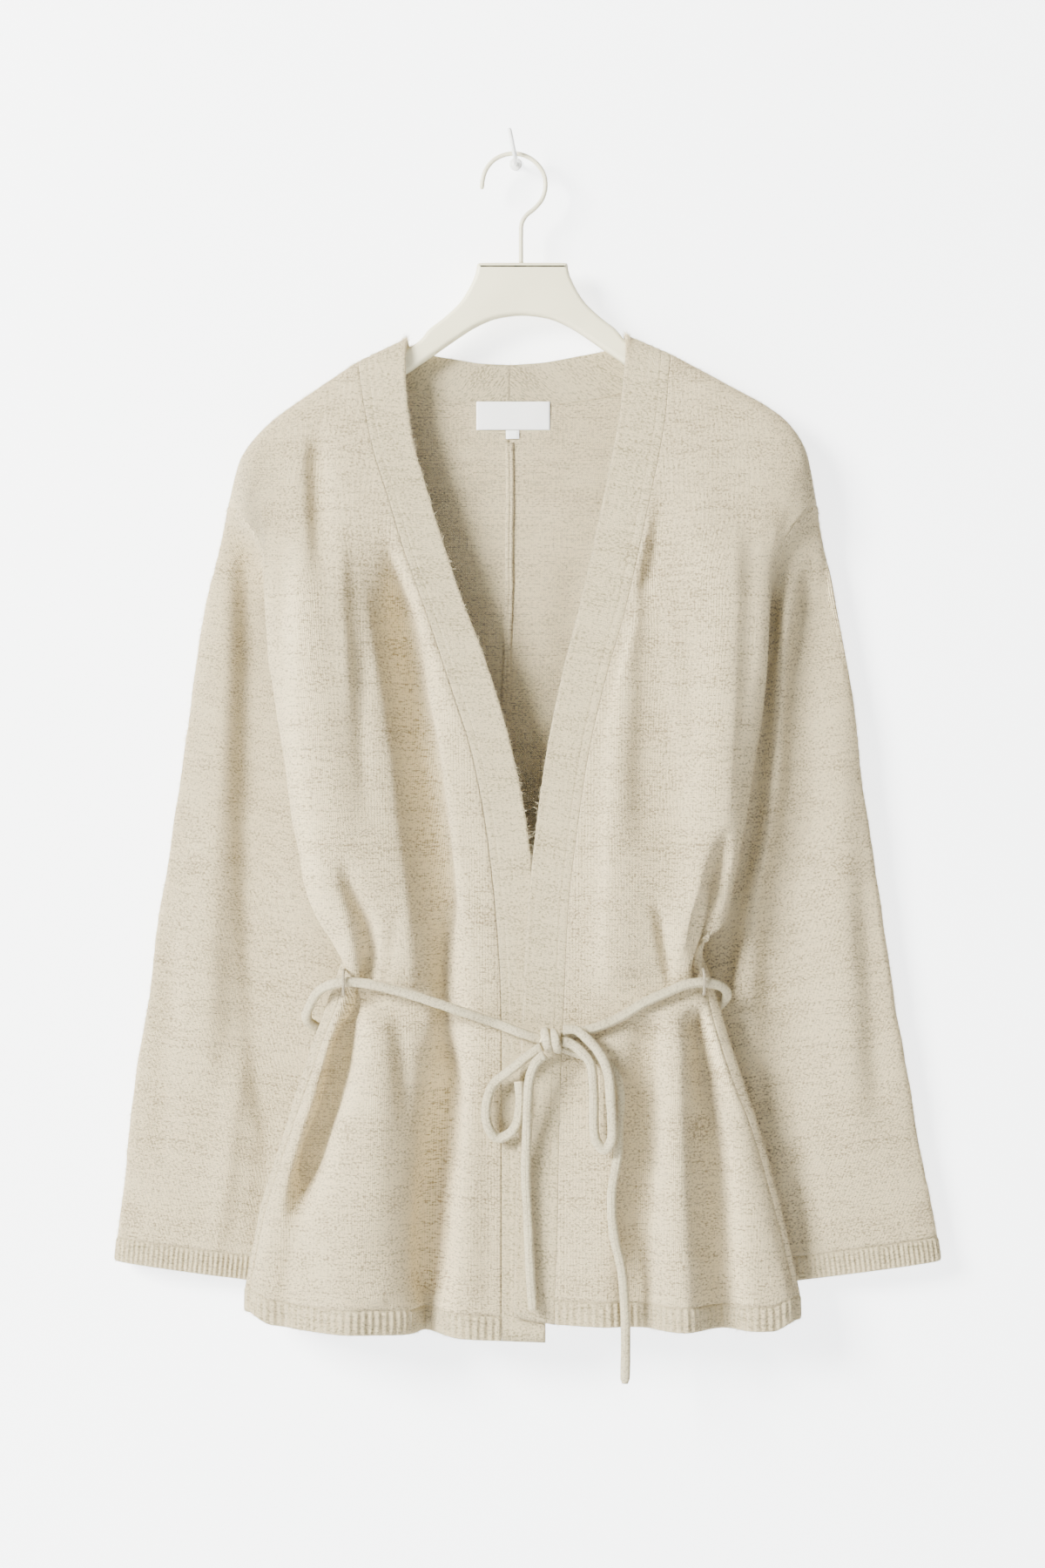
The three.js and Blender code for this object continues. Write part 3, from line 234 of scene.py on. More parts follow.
# The same for the front of each sleeve, and for its hidden back.
SLEEVE_SWELLS = {
    1: [
        [5, 6, -6, 30, 30, 178, -300, 174, -338, 171, -386, 168, -435, 162, -484, 153, -521, 147, -557, 145, -600],
        [10, 9, 3.2, 40, 60, 187, -290, 181, -338, 176, -386, 174, -435, 167, -484, 161, -521, 158, -557, 157,
         -640],
        [8, 26, -5, 40, 70, 205, -280, 198, -338, 192, -386, 191, -435, 184, -484, 178, -521, 176, -557, 175, -606,
         172, -700],
        [18, 14, 2.5, 80, 60, 216, -360, 220, -450, 226, -560, 234, -720],
        [12, 10, -2, 80, 60, 236, -480, 244, -580, 252, -700],
        [8, 12, -2.5, 60, 40, 186, -620, 192, -700, 200, -790],
    ],
    -1: [
        [10, 26, -4.5, 50, 90, 196, -250, 190, -300, 188, -450, 186, -560, 178, -700],
        [24, 8, -9.5, 50, 90, 200, -250, 193, -300, 191, -380, 191, -450, 190, -520, 186, -570, 182, -620, 178,
         -720],
        [12, 16, 3, 60, 90, 212, -262, 210, -320, 212, -400, 216, -480, 220, -560, 224, -680],
        [8, 10, -2, 60, 60, 246, -520, 250, -620, 256, -740],
        [7, 9, 2, 60, 40, 196, -620, 206, -700, 216, -790],
        [6, 8, -2, 50, 50, 170, -600, 176, -680, 186, -780],
    ],
    0: [
        [12, 9, -4, 60, 60, 176, -300, 170, -400, 168, -520, 176, -700],
        [10, 14, 3.5, 60, 60, 200, -300, 200, -420, 206, -560, 220, -760],
        [9, 9, -2.5, 60, 40, 232, -450, 240, -580, 252, -740],
    ],
}
OUTER = {
    1: rows_in(2,
        207, -251, 210, -274, 218, -309, 225, -345, 233, -390, 238, -435, 247, -496, 255, -551, 263, -606, 273,
        -662, 283, -717, 291.5, -766),
    -1: rows_in(2,
        207, -252, 212, -276, 219, -309, 226, -345, 233, -390, 239.5, -435, 249, -496, 257, -551, 265, -606, 273,
        -662, 279, -717, 285, -766),
}
INNER = rows_in(2,
    104, -436, 103, -450, 102, -475, 102, -500, 104, -530, 107, -560, 112, -595, 118, -632, 124, -670, 131, -710,
    139, -750, 146, -786)
AROUND = [0, 0.012, 0.05, 0.11, 0.2, 0.31, 0.43, 0.56, 0.7, 0.85, 1]
HANGER_TOP = rows_in(2,
    31, -82, 33, -90, 42, -107.5, 55, -120.5, 66, -129, 72, -136.5, 84, -143.5, 103, -152.5, 118, -161, 131, -168.5,
    145, -177.5, 160, -188.5, 170, -197, 177, -205, 179, -212)
HANGER_UNDER = rows_in(2,
    176, -217.5, 168, -216, 155, -207, 138, -196, 118, -183, 98, -170.5, 78, -157.5, 62, -146.5, 47, -136, 32,
    -126.5, 17, -120.5, 0, -118.5)


# ---- Shapes: the same functions as part.mjs, over arrays.

def curve(knots, values, t):
    """Monotone cubic through values (n, ...) at t (...)."""
    knots = np.asarray(knots, float)
    v = np.asarray(values, float)
    t = np.asarray(t, float)
    h = np.diff(knots).reshape((-1,) + (1,) * (v.ndim - 1))
    d = np.diff(v, axis=0) / h
    m = np.empty_like(v)
    m[0] = d[0]
    m[-1] = d[-1]
    a, b = d[:-1], d[1:]
    total = np.where(np.abs(a + b) < 1e-12, 1.0, a + b)
    m[1:-1] = np.where(a * b > 0, 2 * a * b / total, 0.0)
    i = np.clip(np.searchsorted(knots, t, side="left") - 1, 0, len(knots) - 2)
    step = np.diff(knots)[i]
    s = np.clip((t - knots[i]) / step, 0, 1)
    extra = (1,) * (v.ndim - 1)
    s = s.reshape(s.shape + extra)
    step = step.reshape(step.shape + extra)
    s2, s3 = s * s, s * s * s
    return ((2 * s3 - 3 * s2 + 1) * v[i] + (s3 - 2 * s2 + s) * step * m[i]
            + (3 * s2 - 2 * s3) * v[i + 1] + (s3 - s2) * step * m[i + 1])


def rows_of(table, k):
    table = np.asarray(table, float)
    return curve(table[:, 0], table, k)


def unit(v):
    return v / np.maximum(np.linalg.norm(v, axis=-1, keepdims=True), 1e-9)


def wrap(g):
    """The grid with its first column again at the end."""
    return np.concatenate([g, g[:, :1]], 1)


def quads_of(ids):
    return np.stack([ids[:-1, :-1], ids[1:, :-1], ids[1:, 1:], ids[:-1, 1:]], -1).reshape(-1, 4)


def mix(a, b, t):
    return a + (b - a) * t


def ease(a, b, t):
    s = np.clip((np.asarray(t, float) - a) / (b - a), 0, 1)
    return s * s * (3 - 2 * s)


def relief(folds, x, z):
    out = np.zeros_like(x)
    for x1, z1, x2, z2, x3, z3, w, d in folds:
        inside = (z <= z1) & (z >= z3)
        px = curve([-z1, -z2, -z3], [x1, x2, x3], -z)
        span = z1 - z3
        run_on = 0.15 * span if z3 < -770 else 0.0
        fade = ease(0, span * 0.25, z1 - z) * ease(0, span * 0.25, z - z3 + run_on)
        out += np.where(inside, d * fade * np.exp(-(((x - px) / w) ** 2)), 0)
    return out


def swells(table, x, z, strength=1.9):
    out = np.zeros_like(x)
    for w_in, w_out, d, top, end, *line in table:
        px, pz = rows_in(2, *line).T
        at = curve(-pz, px, -z)
        w = np.where(x < at, w_in, w_out)
        fade = ease(0, top, pz[0] - z) * (1 if pz[-1] < -820 else ease(0, end, z - pz[-1]))
        out += strength * d * fade * np.exp(-(((x - at) / w) ** 2))
    return out


def belt_pinch(x, z):
    """0 on the belt's line, where the cord holds the cloth in, to 1 away from it."""
    line = np.interp(np.abs(x), [15, 40, 70, 112], [-622, -616, -606, -586])
    return 1 - 0.92 * np.exp(-(((z - line) / 15) ** 2))


def front(side, ks, us):
    """Grid of points of a front's outer face: rows ks, columns us from 0 (band seam) to 15 (side)."""
    ks = np.atleast_1d(np.asarray(ks, float))
    us = np.atleast_1d(np.asarray(us, float))
    _, bx, by, bz, my, ex, ey, ez, ox, oy, oz, sx, sy, sz = rows_of(FRONT[side], ks).T
    knots = [0, 5.5, 11, 13, 15]
    mz = mix(bz, ez, 0.5) + np.where(ks < 4, 1.0, 0.0)
    x = curve(knots, [bx, mix(bx, ex, 0.5), ex, ox, sx], us).T
    y = curve(knots, [by, my, ey, oy, sy], us).T
    z = curve(knots, [bz, mz, ez, oz, sz], us).T
    free = ease(0, 2, us)[None] * (1 - ease(11, 13.5, us))[None] * ease(2, 4, ks)[:, None]
    y = y - relief(FOLDS[side], x, z) * free
    return np.stack([side * x, y, z], -1)


def roll_y(d):
    return -20 + 11.5 * math.sqrt(1 - (1 - min(1, d / 12)) ** 2)


def back_point(side, k, u):
    neck = NECK[side]
    zc = -179.5 - 25 * k if k <= 10 else -429.5 - 31.4 * (k - 10)
    knots = [0, 3.5, 7, 9.5, 11.5, 13.5, 15]
    low = rows_of(BACK, max(4, k))
    seam = -9 - 3 * ease(4, 9, k)
    centre = [side * seam, mix(-8.5, -9, ease(8, 14, k)) + 1.5 * ease(18, 22, k), zc]

    def row(j):
        pts = [low[j], low[j + 3], low[j + 6], low[j + 9], low[j + 12]]
        half = mix(centre[2], pts[0], 0.35) if j == 3 else mix(centre[j - 1], pts[0], 0.5)
        return [centre[j - 1], half, *pts]

    p = np.array([float(curve(knots, row(j), u)) for j in (1, 2, 3)])
    if k >= 10:
        s = front(side, k, 15)[0, 0]
        p += (np.array([side * s[0], s[1], s[2]]) - low[13:16]) * ease(9, 15, u)
    if k < 4:
        t = k / 4
        drop = float(curve([0, 1, 2, 3, 4], [0, 1.6, 6, 15, 40], k))
        if u <= NECK_COLS:
            top = neck[round(NECK_COLS - u)][:3]
            if u == NECK_COLS:
                p = np.array([top[0] + 10 * t, roll_y(drop + t * 4), top[2] - drop - t * 4])
            else:
                deep = roll_y(neck[0][2] - mix(top[2], p[2], t))
                p = np.array([mix(top[0], p[0], t), max(mix(top[1], p[1], t), deep), mix(top[2], p[2], t)])
        else:
            part = (u - NECK_COLS) / SHOULDER_COLS
            f = front(side, k, 15 * part)[0, 0]
            q = np.array([side * f[0], roll_y(drop), f[2]])
            end = [None, [206, -14, -254], [203, -10, -259], [198.5, -8.5, -267]][round(k)]
            if end:
                last = front(side, k, 15)[0, 0]
                q += np.array([end[0] - side * last[0], end[1] - q[1], end[2] - last[2]]) * ease(0.4, 1, part)
            q[0] += 10 * t * (1 - ease(0, 0.5, part))
            p = mix(q, p, ease(2, 4, k) * t * t)
    free = ease(1, 4, u) * (1 - ease(12, 14, u)) * ease(4, 6, k)
    p[1] += relief(FOLDS[0], np.array([p[0]]), np.array([p[2]]))[0] * free
    return np.array([side * p[0], p[1], p[2]])


def tube_point(side, t, j):
    steps = np.arange(len(INNER))
    s = t * (len(INNER) - 1)
    o = curve(steps, OUTER[side], s)
    i = curve(steps, INNER, s)
    q = AROUND[j if j <= 10 else 20 - j]
    c = 1 - 2 * q
    half = mix(6.6, mix(12.5, 9, t), ease(-0.7, 0.6, c))
    rise = (1 - abs(c) ** 2.6) ** (1 / 2.6)
    y = -3.5 - half + (-half * rise if j <= 10 else half * rise)
    return np.array([side * mix(o[0], i[0], q), y, mix(o[1], i[1], q)])


def sleeve_point(side, r, j):
    t = r / SLEEVE_ROWS
    home = front(side, j, 15)[0, 0] if j <= 10 else back_point(side, 20 - j, 15)
    shift = home - tube_point(side, 0, j)
    slow = 1 - ease(0, 0.4, t)
    return tube_point(side, t, j) + shift * np.array([slow, 1 - ease(0, 0.08, t), slow])


def upsample(g, rows, cols, closed=False):
    """Smooth grid through the coarse one at the given row and column positions."""
    if closed:
        g = np.concatenate([g[:, -3:], g, g[:, :4]], 1)
        knots = np.arange(-3, g.shape[1] - 3)
    else:
        knots = np.arange(g.shape[1])
    fine = curve(np.arange(g.shape[0]), g, rows)
    return np.swapaxes(curve(knots, np.swapaxes(fine, 0, 1), cols), 0, 1)


def normals(g, closed=False):
    if closed:
        du = np.roll(g, -1, 1) - np.roll(g, 1, 1)
    else:
        du = np.gradient(g, axis=1)
    dv = np.gradient(g, axis=0)
    return unit(np.cross(du, dv))


def soften(g, times, closed=False):
    """Averages inner points with their neighbours, so cubic joins don't show."""
    for _ in range(times):
        side_a = np.roll(g, 1, 1) if closed else g[:, :-2]
        side_b = np.roll(g, -1, 1) if closed else g[:, 2:]
        if closed:
            g = g * 0.5 + (side_a + side_b) * 0.25
        else:
            g = g.copy()
            g[:, 1:-1] = g[:, 1:-1] * 0.5 + (side_a + side_b) * 0.25
        g[1:-1] = g[1:-1] * 0.5 + (g[:-2] + g[2:]) * 0.25
    return g


def noise(x, y, size, seed):
    """Smooth value noise from -1 to 1 with lumps of about that size."""
    rng = np.random.default_rng(seed)
    table = rng.uniform(-1, 1, (64, 64))
    gx, gy = x / size, y / size
    ix, iy = np.floor(gx).astype(int), np.floor(gy).astype(int)
    fx, fy = gx - ix, gy - iy
    fx, fy = fx * fx * (3 - 2 * fx), fy * fy * (3 - 2 * fy)
    at = lambda a, b: table[a % 64, b % 64]
    low = at(ix, iy) * (1 - fx) + at(ix + 1, iy) * fx
    high = at(ix, iy + 1) * (1 - fx) + at(ix + 1, iy + 1) * fx
    return low * (1 - fy) + high * fy


def arc(g, axis):
    d = np.linalg.norm(np.diff(g, axis=axis), axis=-1)
    zero = np.zeros_like(np.take(d, [0], axis=axis))
    return np.concatenate([zero, np.cumsum(d, axis=axis)], axis=axis)


# ---- Meshes.

def make(name, verts, faces, uvs=None, face_mats=None, materials=()):
    """One mesh object from millimetre points in the tables' coordinates."""
    verts = (np.asarray(verts, float) + SHIFT) * MM
    mesh = bpy.data.meshes.new(name)
    mesh.vertices.add(len(verts))
    mesh.vertices.foreach_set("co", verts.ravel())
    sizes = np.array([len(f) for f in faces])
    flat = np.concatenate([np.asarray(f) for f in faces]) if isinstance(faces, list) else faces.ravel()
    mesh.loops.add(len(flat))
    mesh.loops.foreach_set("vertex_index", flat.astype(np.int32))
    mesh.polygons.add(len(sizes))
    mesh.polygons.foreach_set("loop_start", np.concatenate([[0], np.cumsum(sizes)[:-1]]).astype(np.int32))
    mesh.polygons.foreach_set("loop_total", sizes.astype(np.int32))
    if uvs is not None:
        layer = mesh.uv_layers.new(name="UVMap")
        layer.data.foreach_set("uv", np.asarray(uvs, np.float32).ravel())
    for m in materials:
        mesh.materials.append(m)
    if face_mats is not None:
        mesh.polygons.foreach_set("material_index", np.asarray(face_mats, np.int32))
    mesh.polygons.foreach_set("use_smooth", np.full(len(sizes), True))
    mesh.update()
    mesh.validate()
    obj = bpy.data.objects.new(name, mesh)
    bpy.context.scene.collection.objects.link(obj)
    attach(obj, "root")
    return obj


def shell(name, outer, inner, u, v, mats, closed=False):
    """Closed cloth wall between two skins; u and v are its knit coordinates in millimetres."""
    rows, cols = outer.shape[:2]
    ids = np.arange(rows * cols).reshape(rows, cols)
    uv = np.stack([u, v], -1) * MM
    wide = wrap(ids) if closed else ids
    at = np.arange(uv.shape[0] * uv.shape[1]).reshape(uv.shape[:2])
    flat_uv = uv.reshape(-1, 2)
    faces = [quads_of(wide), quads_of(wide)[:, ::-1] + rows * cols]
    coords = [quads_of(at), quads_of(at)[:, ::-1]]
    kinds = [np.zeros(len(faces[0])), np.ones(len(faces[1]))]
    rims = [(wide[0], at[0], 1), (wide[-1], at[-1], -1)]
    if not closed:
        rims += [(wide[:, 0], at[:, 0], -1), (wide[:, -1], at[:, -1], 1)]
    for line, place, way in rims:
        f = np.stack([line[:-1], line[1:], line[1:] + rows * cols, line[:-1] + rows * cols], -1)
        c = np.stack([place[:-1], place[1:], place[1:], place[:-1]], -1)
        faces.append(f[:, ::way])
        coords.append(c[:, ::way])
        kinds.append(np.zeros(len(f)))
    faces = np.concatenate(faces)
    coords = np.concatenate(coords)
    points = np.concatenate([outer.reshape(-1, 3), inner.reshape(-1, 3)])
    a, b, c, d = (points[faces[:, i]] for i in range(4))
    volume = np.einsum("ij,ij->i", a, np.cross(b, c)).sum() + np.einsum("ij,ij->i", a, np.cross(c, d)).sum()
    if volume < 0:
        faces = faces[:, ::-1]
        coords = coords[:, ::-1]
    return make(name, points, faces, flat_uv[coords], np.concatenate(kinds), mats)


def catmull(points, step=1.5):
    """Centripetal Catmull-Rom line through the points, sampled about every step."""
    p = np.asarray(points, float)
    p = np.concatenate([[2 * p[0] - p[1]], p, [2 * p[-1] - p[-2]]])
    out = []
    for i in range(1, len(p) - 2):
        a, b, c, d = p[i - 1:i + 3]
        t0 = 0.0
        t1 = t0 + max(np.linalg.norm(b - a), 1e-6) ** 0.5
        t2 = t1 + max(np.linalg.norm(c - b), 1e-6) ** 0.5
        t3 = t2 + max(np.linalg.norm(d - c), 1e-6) ** 0.5
        n = max(2, int(np.linalg.norm(c - b) / step))
        for t in np.linspace(t1, t2, n, endpoint=False):
            a1 = (t1 - t) / (t1 - t0) * a + (t - t0) / (t1 - t0) * b
            a2 = (t2 - t) / (t2 - t1) * b + (t - t1) / (t2 - t1) * c
            a3 = (t3 - t) / (t3 - t2) * c + (t - t2) / (t3 - t2) * d
            b1 = (t2 - t) / (t2 - t0) * a1 + (t - t0) / (t2 - t0) * a2
            b2 = (t3 - t) / (t3 - t1) * a2 + (t - t1) / (t3 - t1) * a3
            out.append((t2 - t) / (t2 - t1) * b1 + (t - t1) / (t2 - t1) * b2)
    out.append(p[-2])
    return np.array(out)


def sweep(path, radius, sides=16):
    """Tube round a line: its points, faces and knit coordinates; radius is one number or one a point."""
    path = np.asarray(path, float)
    n = len(path)
    radius = np.broadcast_to(np.asarray(radius, float), (n,))
    tangent = unit(np.gradient(path, axis=0))
    ref = np.array([0.0, -1.0, 0.0])
    if abs(tangent[0] @ ref) > 0.9:
        ref = np.array([0.0, 0.0, 1.0])
    rings = []
    for i in range(n):
        ref = unit(ref - tangent[i] * (ref @ tangent[i]))
        other = np.cross(tangent[i], ref)
        a = np.arange(sides) / sides * 2 * math.pi
        rings.append(path[i] + radius[i] * (np.cos(a)[:, None] * ref + np.sin(a)[:, None] * other))
    points = np.concatenate(rings)
    ids = np.arange(n * sides).reshape(n, sides)
    faces = quads_of(wrap(ids))[:, [0, 3, 2, 1]]
    along = arc(path[:, None], 0)[:, 0]
    round_ = np.arange(sides + 1) / sides * 2 * math.pi * radius.mean()
    uv = np.stack(np.broadcast_arrays(round_[None], along[:, None]), -1) * MM
    at = np.arange(n * (sides + 1)).reshape(n, sides + 1)
    coords = quads_of(at)[:, [0, 3, 2, 1]]
    faces = [*faces, ids[0][::-1], ids[-1]]
    uvs = [*uv.reshape(-1, 2)[coords].reshape(-1, 2)] + [[0.0, 0.0]] * (2 * sides)
    return points, faces, uvs


def joined(parts):
    """Points, faces and coordinates of several sweeps as one."""
    points, faces, uvs, offset = [], [], [], 0
    for p, f, u in parts:
        points.append(p)
        faces += [np.asarray(x) + offset for x in f]
        uvs += list(u)
        offset += len(p)
    return np.concatenate(points), faces, uvs


def tube(name, path, radius, mats, sides=16):
    points, faces, uvs = sweep(path, radius, sides)
    return make(name, points, faces, uvs, None, mats)


# ---- Materials.

def nodes_of(name):
    mat = bpy.data.materials.new(name)
    mat.use_nodes = True
    tree = mat.node_tree
    bsdf = tree.nodes["Principled BSDF"]
    return mat, tree, bsdf


def math_node(tree, op, a, b=None, c=None):
    node = tree.nodes.new("ShaderNodeMath")
    node.operation = op
    for i, value in enumerate((a, b, c)):
        if value is None:
            continue
        if isinstance(value, (int, float)):
            node.inputs[i].default_value = value
        else:
            tree.links.new(value, node.inputs[i])
    return node.outputs[0]


def noise_node(tree, vector, scale, detail=2.0, rough=0.5):
    """Noise over the vector, stretched by the three scales."""
    stretch = tree.nodes.new("ShaderNodeMapping")
    stretch.inputs["Scale"].default_value = scale
    tree.links.new(vector, stretch.inputs["Vector"])
    node = tree.nodes.new("ShaderNodeTexNoise")
    node.inputs["Scale"].default_value = 1.0
    node.inputs["Detail"].default_value = detail
    node.inputs["Roughness"].default_value = rough
    tree.links.new(stretch.outputs["Vector"], node.inputs["Vector"])
    return node.outputs["Fac"]


def bump_node(tree, bsdf, height, strength, distance):
    bump = tree.nodes.new("ShaderNodeBump")
    bump.inputs["Strength"].default_value = strength
    bump.inputs["Distance"].default_value = distance
    tree.links.new(height, bump.inputs["Height"])
    tree.links.new(bump.outputs["Normal"], bsdf.inputs["Normal"])


def ramp_node(tree, fac, stops):
    node = tree.nodes.new("ShaderNodeValToRGB")
    tree.links.new(fac, node.inputs["Fac"])
    ramp = node.color_ramp
    while len(ramp.elements) < len(stops):
        ramp.elements.new(0.5)
    for element, (place, colour) in zip(ramp.elements, stops):
        element.position = place
        element.color = (*colour, 1)
    return node.outputs["Color"]


def knit(name, light, dark, kind="plain", wale=1.7, course=1.25, sheen=0.15):
    """Heathered knit, V stitches (plain) or their backs (purl), from the UV in metres."""
    mat, tree, bsdf = nodes_of(name)
    calc = partial(math_node, tree)
    coord = tree.nodes.new("ShaderNodeTexCoord")
    uv = coord.outputs["UV"]
    sep = tree.nodes.new("ShaderNodeSeparateXYZ")
    tree.links.new(uv, sep.inputs[0])
    x = calc("MULTIPLY", sep.outputs["X"], 1000 / wale)
    y = calc("MULTIPLY", sep.outputs["Y"], 1000 / course)
    cell = calc("FRACT", x)
    off = calc("ABSOLUTE", calc("SUBTRACT", cell, 0.5))
    t = calc("MULTIPLY", off, 2.0)
    if kind == "purl":
        shift = calc("MULTIPLY", t, 0.5)
        wave = calc("SINE", calc("MULTIPLY", calc("ADD", y, shift), 2 * math.pi))
        height = calc("MULTIPLY_ADD", wave, 0.5, 0.5)
    else:
        lean = calc("MULTIPLY", t, 0.9)
        wave = calc("SINE", calc("MULTIPLY", calc("SUBTRACT", y, lean), 2 * math.pi))
        loop = calc("MULTIPLY_ADD", wave, 0.22, 0.6)
        mid = calc("MULTIPLY_ADD", t, 2.0, -1.0)
        leg = calc("SUBTRACT", 1.0, calc("MULTIPLY", mid, mid))
        height = calc("MULTIPLY", loop, leg)
    fuzz = noise_node(tree, uv, (1300, 1000, 1), 1.0, 0.6)
    height = calc("MULTIPLY_ADD", fuzz, 1.3, height)
    bump_node(tree, bsdf, height, 1.0, 0.0012)
    # Heather: long faint streaks along the courses, short flecks, and a slow drift over the piece; the stitch height
    # is added too, which paints the stitch tops lighter and the grooves between stitches darker as painted shade.
    streak = noise_node(tree, uv, (60, 330, 1), 2.0, 0.6)
    fleck = noise_node(tree, uv, (480, 700, 1), 1.0, 0.8)
    drift = noise_node(tree, uv, (14, 50, 1), 1.0, 0.5)
    tone = calc("MULTIPLY_ADD", streak, 0.55, calc("MULTIPLY", fleck, 1.3))
    tone = calc("ADD", tone, calc("MULTIPLY", drift, 0.34))
    # Painted shade: the stitch height lightens the tops of the stitches and darkens the grooves between them.
    tone = calc("ADD", tone, calc("MULTIPLY_ADD", height, 0.3, -0.81))
    mid = tuple(a * 0.6 + b * 0.4 for a, b in zip(light, dark))
    colour = ramp_node(tree, tone, [(0.36, dark), (0.5, mid), (0.62, light)])
    tree.links.new(colour, bsdf.inputs["Base Color"])
    bsdf.inputs["Roughness"].default_value = 0.92
    bsdf.inputs["Specular IOR Level"].default_value = 0.15
    bsdf.inputs["Sheen Weight"].default_value = sheen
    bsdf.inputs["Sheen Roughness"].default_value = 0.45
    bsdf.inputs["Sheen Tint"].default_value = (1.0, 0.95, 0.86, 1)
    return mat


def moulded(name, base, rough, grain=0.0, scale=900.0):
    """Cream plastic or painted metal with a faint uneven surface."""
    mat, tree, bsdf = nodes_of(name)
    calc = partial(math_node, tree)
    coord = tree.nodes.new("ShaderNodeTexCoord")
    place = coord.outputs["Object"]
    drift = noise_node(tree, place, (18, 18, 18))
    dark = tuple(c * 0.93 for c in base)
    tree.links.new(ramp_node(tree, drift, [(0.35, dark), (0.65, base)]), bsdf.inputs["Base Color"])
    fine = noise_node(tree, place, (scale, scale, scale))
    rough_out = calc("MULTIPLY_ADD", fine, 0.12, rough - 0.06)
    tree.links.new(rough_out, bsdf.inputs["Roughness"])
    bump_node(tree, bsdf, fine, 0.25, grain)
    bsdf.inputs["Specular IOR Level"].default_value = 0.4
    return mat


def woven(name, base):
    """Smooth woven tape: fine over-and-under threads, with painted shade darkening the low points of the weave."""
    mat, tree, bsdf = nodes_of(name)
    calc = partial(math_node, tree)
    coord = tree.nodes.new("ShaderNodeTexCoord")
    sep = tree.nodes.new("ShaderNodeSeparateXYZ")
    tree.links.new(coord.outputs["Object"], sep.inputs[0])
    a = calc("SINE", calc("MULTIPLY", sep.outputs["X"], 2 * math.pi / 0.0005))
    b = calc("SINE", calc("MULTIPLY", sep.outputs["Z"], 2 * math.pi / 0.0004))
    weave = calc("MULTIPLY", a, b)
    bump_node(tree, bsdf, weave, 0.2, 0.0001)
    dark = tuple(c * 0.95 for c in base)
    # Painted shade: the weave's low points, where the bump dips, are coloured darker.
    tone = calc("MULTIPLY_ADD", weave, 0.5, 0.5)
    tree.links.new(ramp_node(tree, tone, [(0.2, dark), (0.8, base)]), bsdf.inputs["Base Color"])
    bsdf.inputs["Roughness"].default_value = 0.6
    bsdf.inputs["Sheen Weight"].default_value = 0.15
    return mat


LIGHT = (0.86, 0.72, 0.445)
DARK = (0.38, 0.29, 0.165)
wool = knit("wool_knit", LIGHT, DARK)
wool_in = knit("wool_purl_side", LIGHT, DARK, kind="purl")
rib = knit("rib_knit", (0.86, 0.725, 0.45), (0.41, 0.33, 0.18), wale=1.3, course=1.2)
cord_mat = knit("tie_cord", (0.92, 0.81, 0.54), (0.60, 0.50, 0.30), wale=1.35, course=1.3)
thread = knit("thread", (0.74, 0.63, 0.44), (0.46, 0.37, 0.24), wale=0.8, course=0.9)
tape = woven("label_tape", (0.86, 0.855, 0.845))
plastic = moulded("hanger_plastic", (0.80, 0.745, 0.52), 0.42, 0.00004)
wire_mat = moulded("hanger_wire", (0.70, 0.655, 0.48), 0.35, 0.00003, 1500)
paint = moulded("hook_paint", (0.84, 0.84, 0.83), 0.35, 0.00003, 1500)

# ---- Camera, at the photo's place.
cam_data = bpy.data.cameras.new("camera")
cam_data.sensor_width = 36
cam_data.lens = 68.85
cam_data.clip_end = 50
cam = bpy.data.objects.new("camera", cam_data)
cam.location = (0.0049, -2.125, -0.4391)
cam.rotation_euler = (math.pi / 2, 0, 0)
bpy.context.scene.collection.objects.link(cam)
bpy.context.scene.camera = cam

# ---- Belt cord: part.mjs's routes, laid in front of the cloth.
bed = []
for side in (1, -1):
    bed.append(front(side, np.arange(12, 22.01, 0.25), np.arange(0, 15.01, 0.5)).reshape(-1, 3))
    ks = np.arange(12, 22.01, 0.5)
    free = rows_of(EDGE[side], ks)[:, 1:] * np.array([side, 1, 1])
    seam = front(side, ks, 0)[:, 0]
    for t in np.arange(0, 1.01, 0.2):
        bed.append(mix(free, seam, t))
bed = np.concatenate(bed)


def on_front(x, z, lift=0.0):
    near = (np.abs(bed[:, 0] - x) < 9) & (np.abs(bed[:, 2] - max(z, -804)) < 9)
    y = min(0.0, bed[near, 1].min()) if near.any() else 0.0
    return [x, y - 0.7 - CORD - CORD_GAP - lift, z]


LOOP_X = [-123.5, 125.5]
LOOP_Z = -584.6
WAIST_FROM = rows_in(2,
    12.8, -624, -2, -619, -18, -613, -38, -606, -60, -598.5, -80, -592, -100, -587, -112, -585)
WAIST_ROUND = rows_in(3,
    -123.5, -52, -584.5, -133, -50, -586.5, -141, -46, -591, -147, -40, -600, -150.5, -33, -611, -143, -26.5, -618,
    -128, -24.2, -622, -112, -20, -625, -96, -11.5, -627, -78, -5, -629, -50, -4.2, -631, -18, -4.2, -632, 18, -4.2,
    -632, 50, -4.2, -630, 78, -5, -627, 96, -11, -622, 112, -19, -615, 128, -24.2, -608, 139, -29, -601, 142.5, -37,
    -594, 139, -44.5, -588.5, 133, -49, -586, 125.5, -52, -584.8)
WAIST_TO = rows_in(2,
    113, -586, 101, -591, 84, -598.5, 70, -607, 55, -614, 42, -618, 26.9, -621.5)
BOW_LEFT = rows_in(3,
    13, 7.2, -628.6, 5, 6, -634, -8, 4, -644.5, -20, 1, -655, -25, 0, -669, -24, 0, -683, -17.5, 0, -692, -9, 0,
    -689, -3.5, 0, -681, -1.6, 0, -664, -2.5, 0.5, -653)
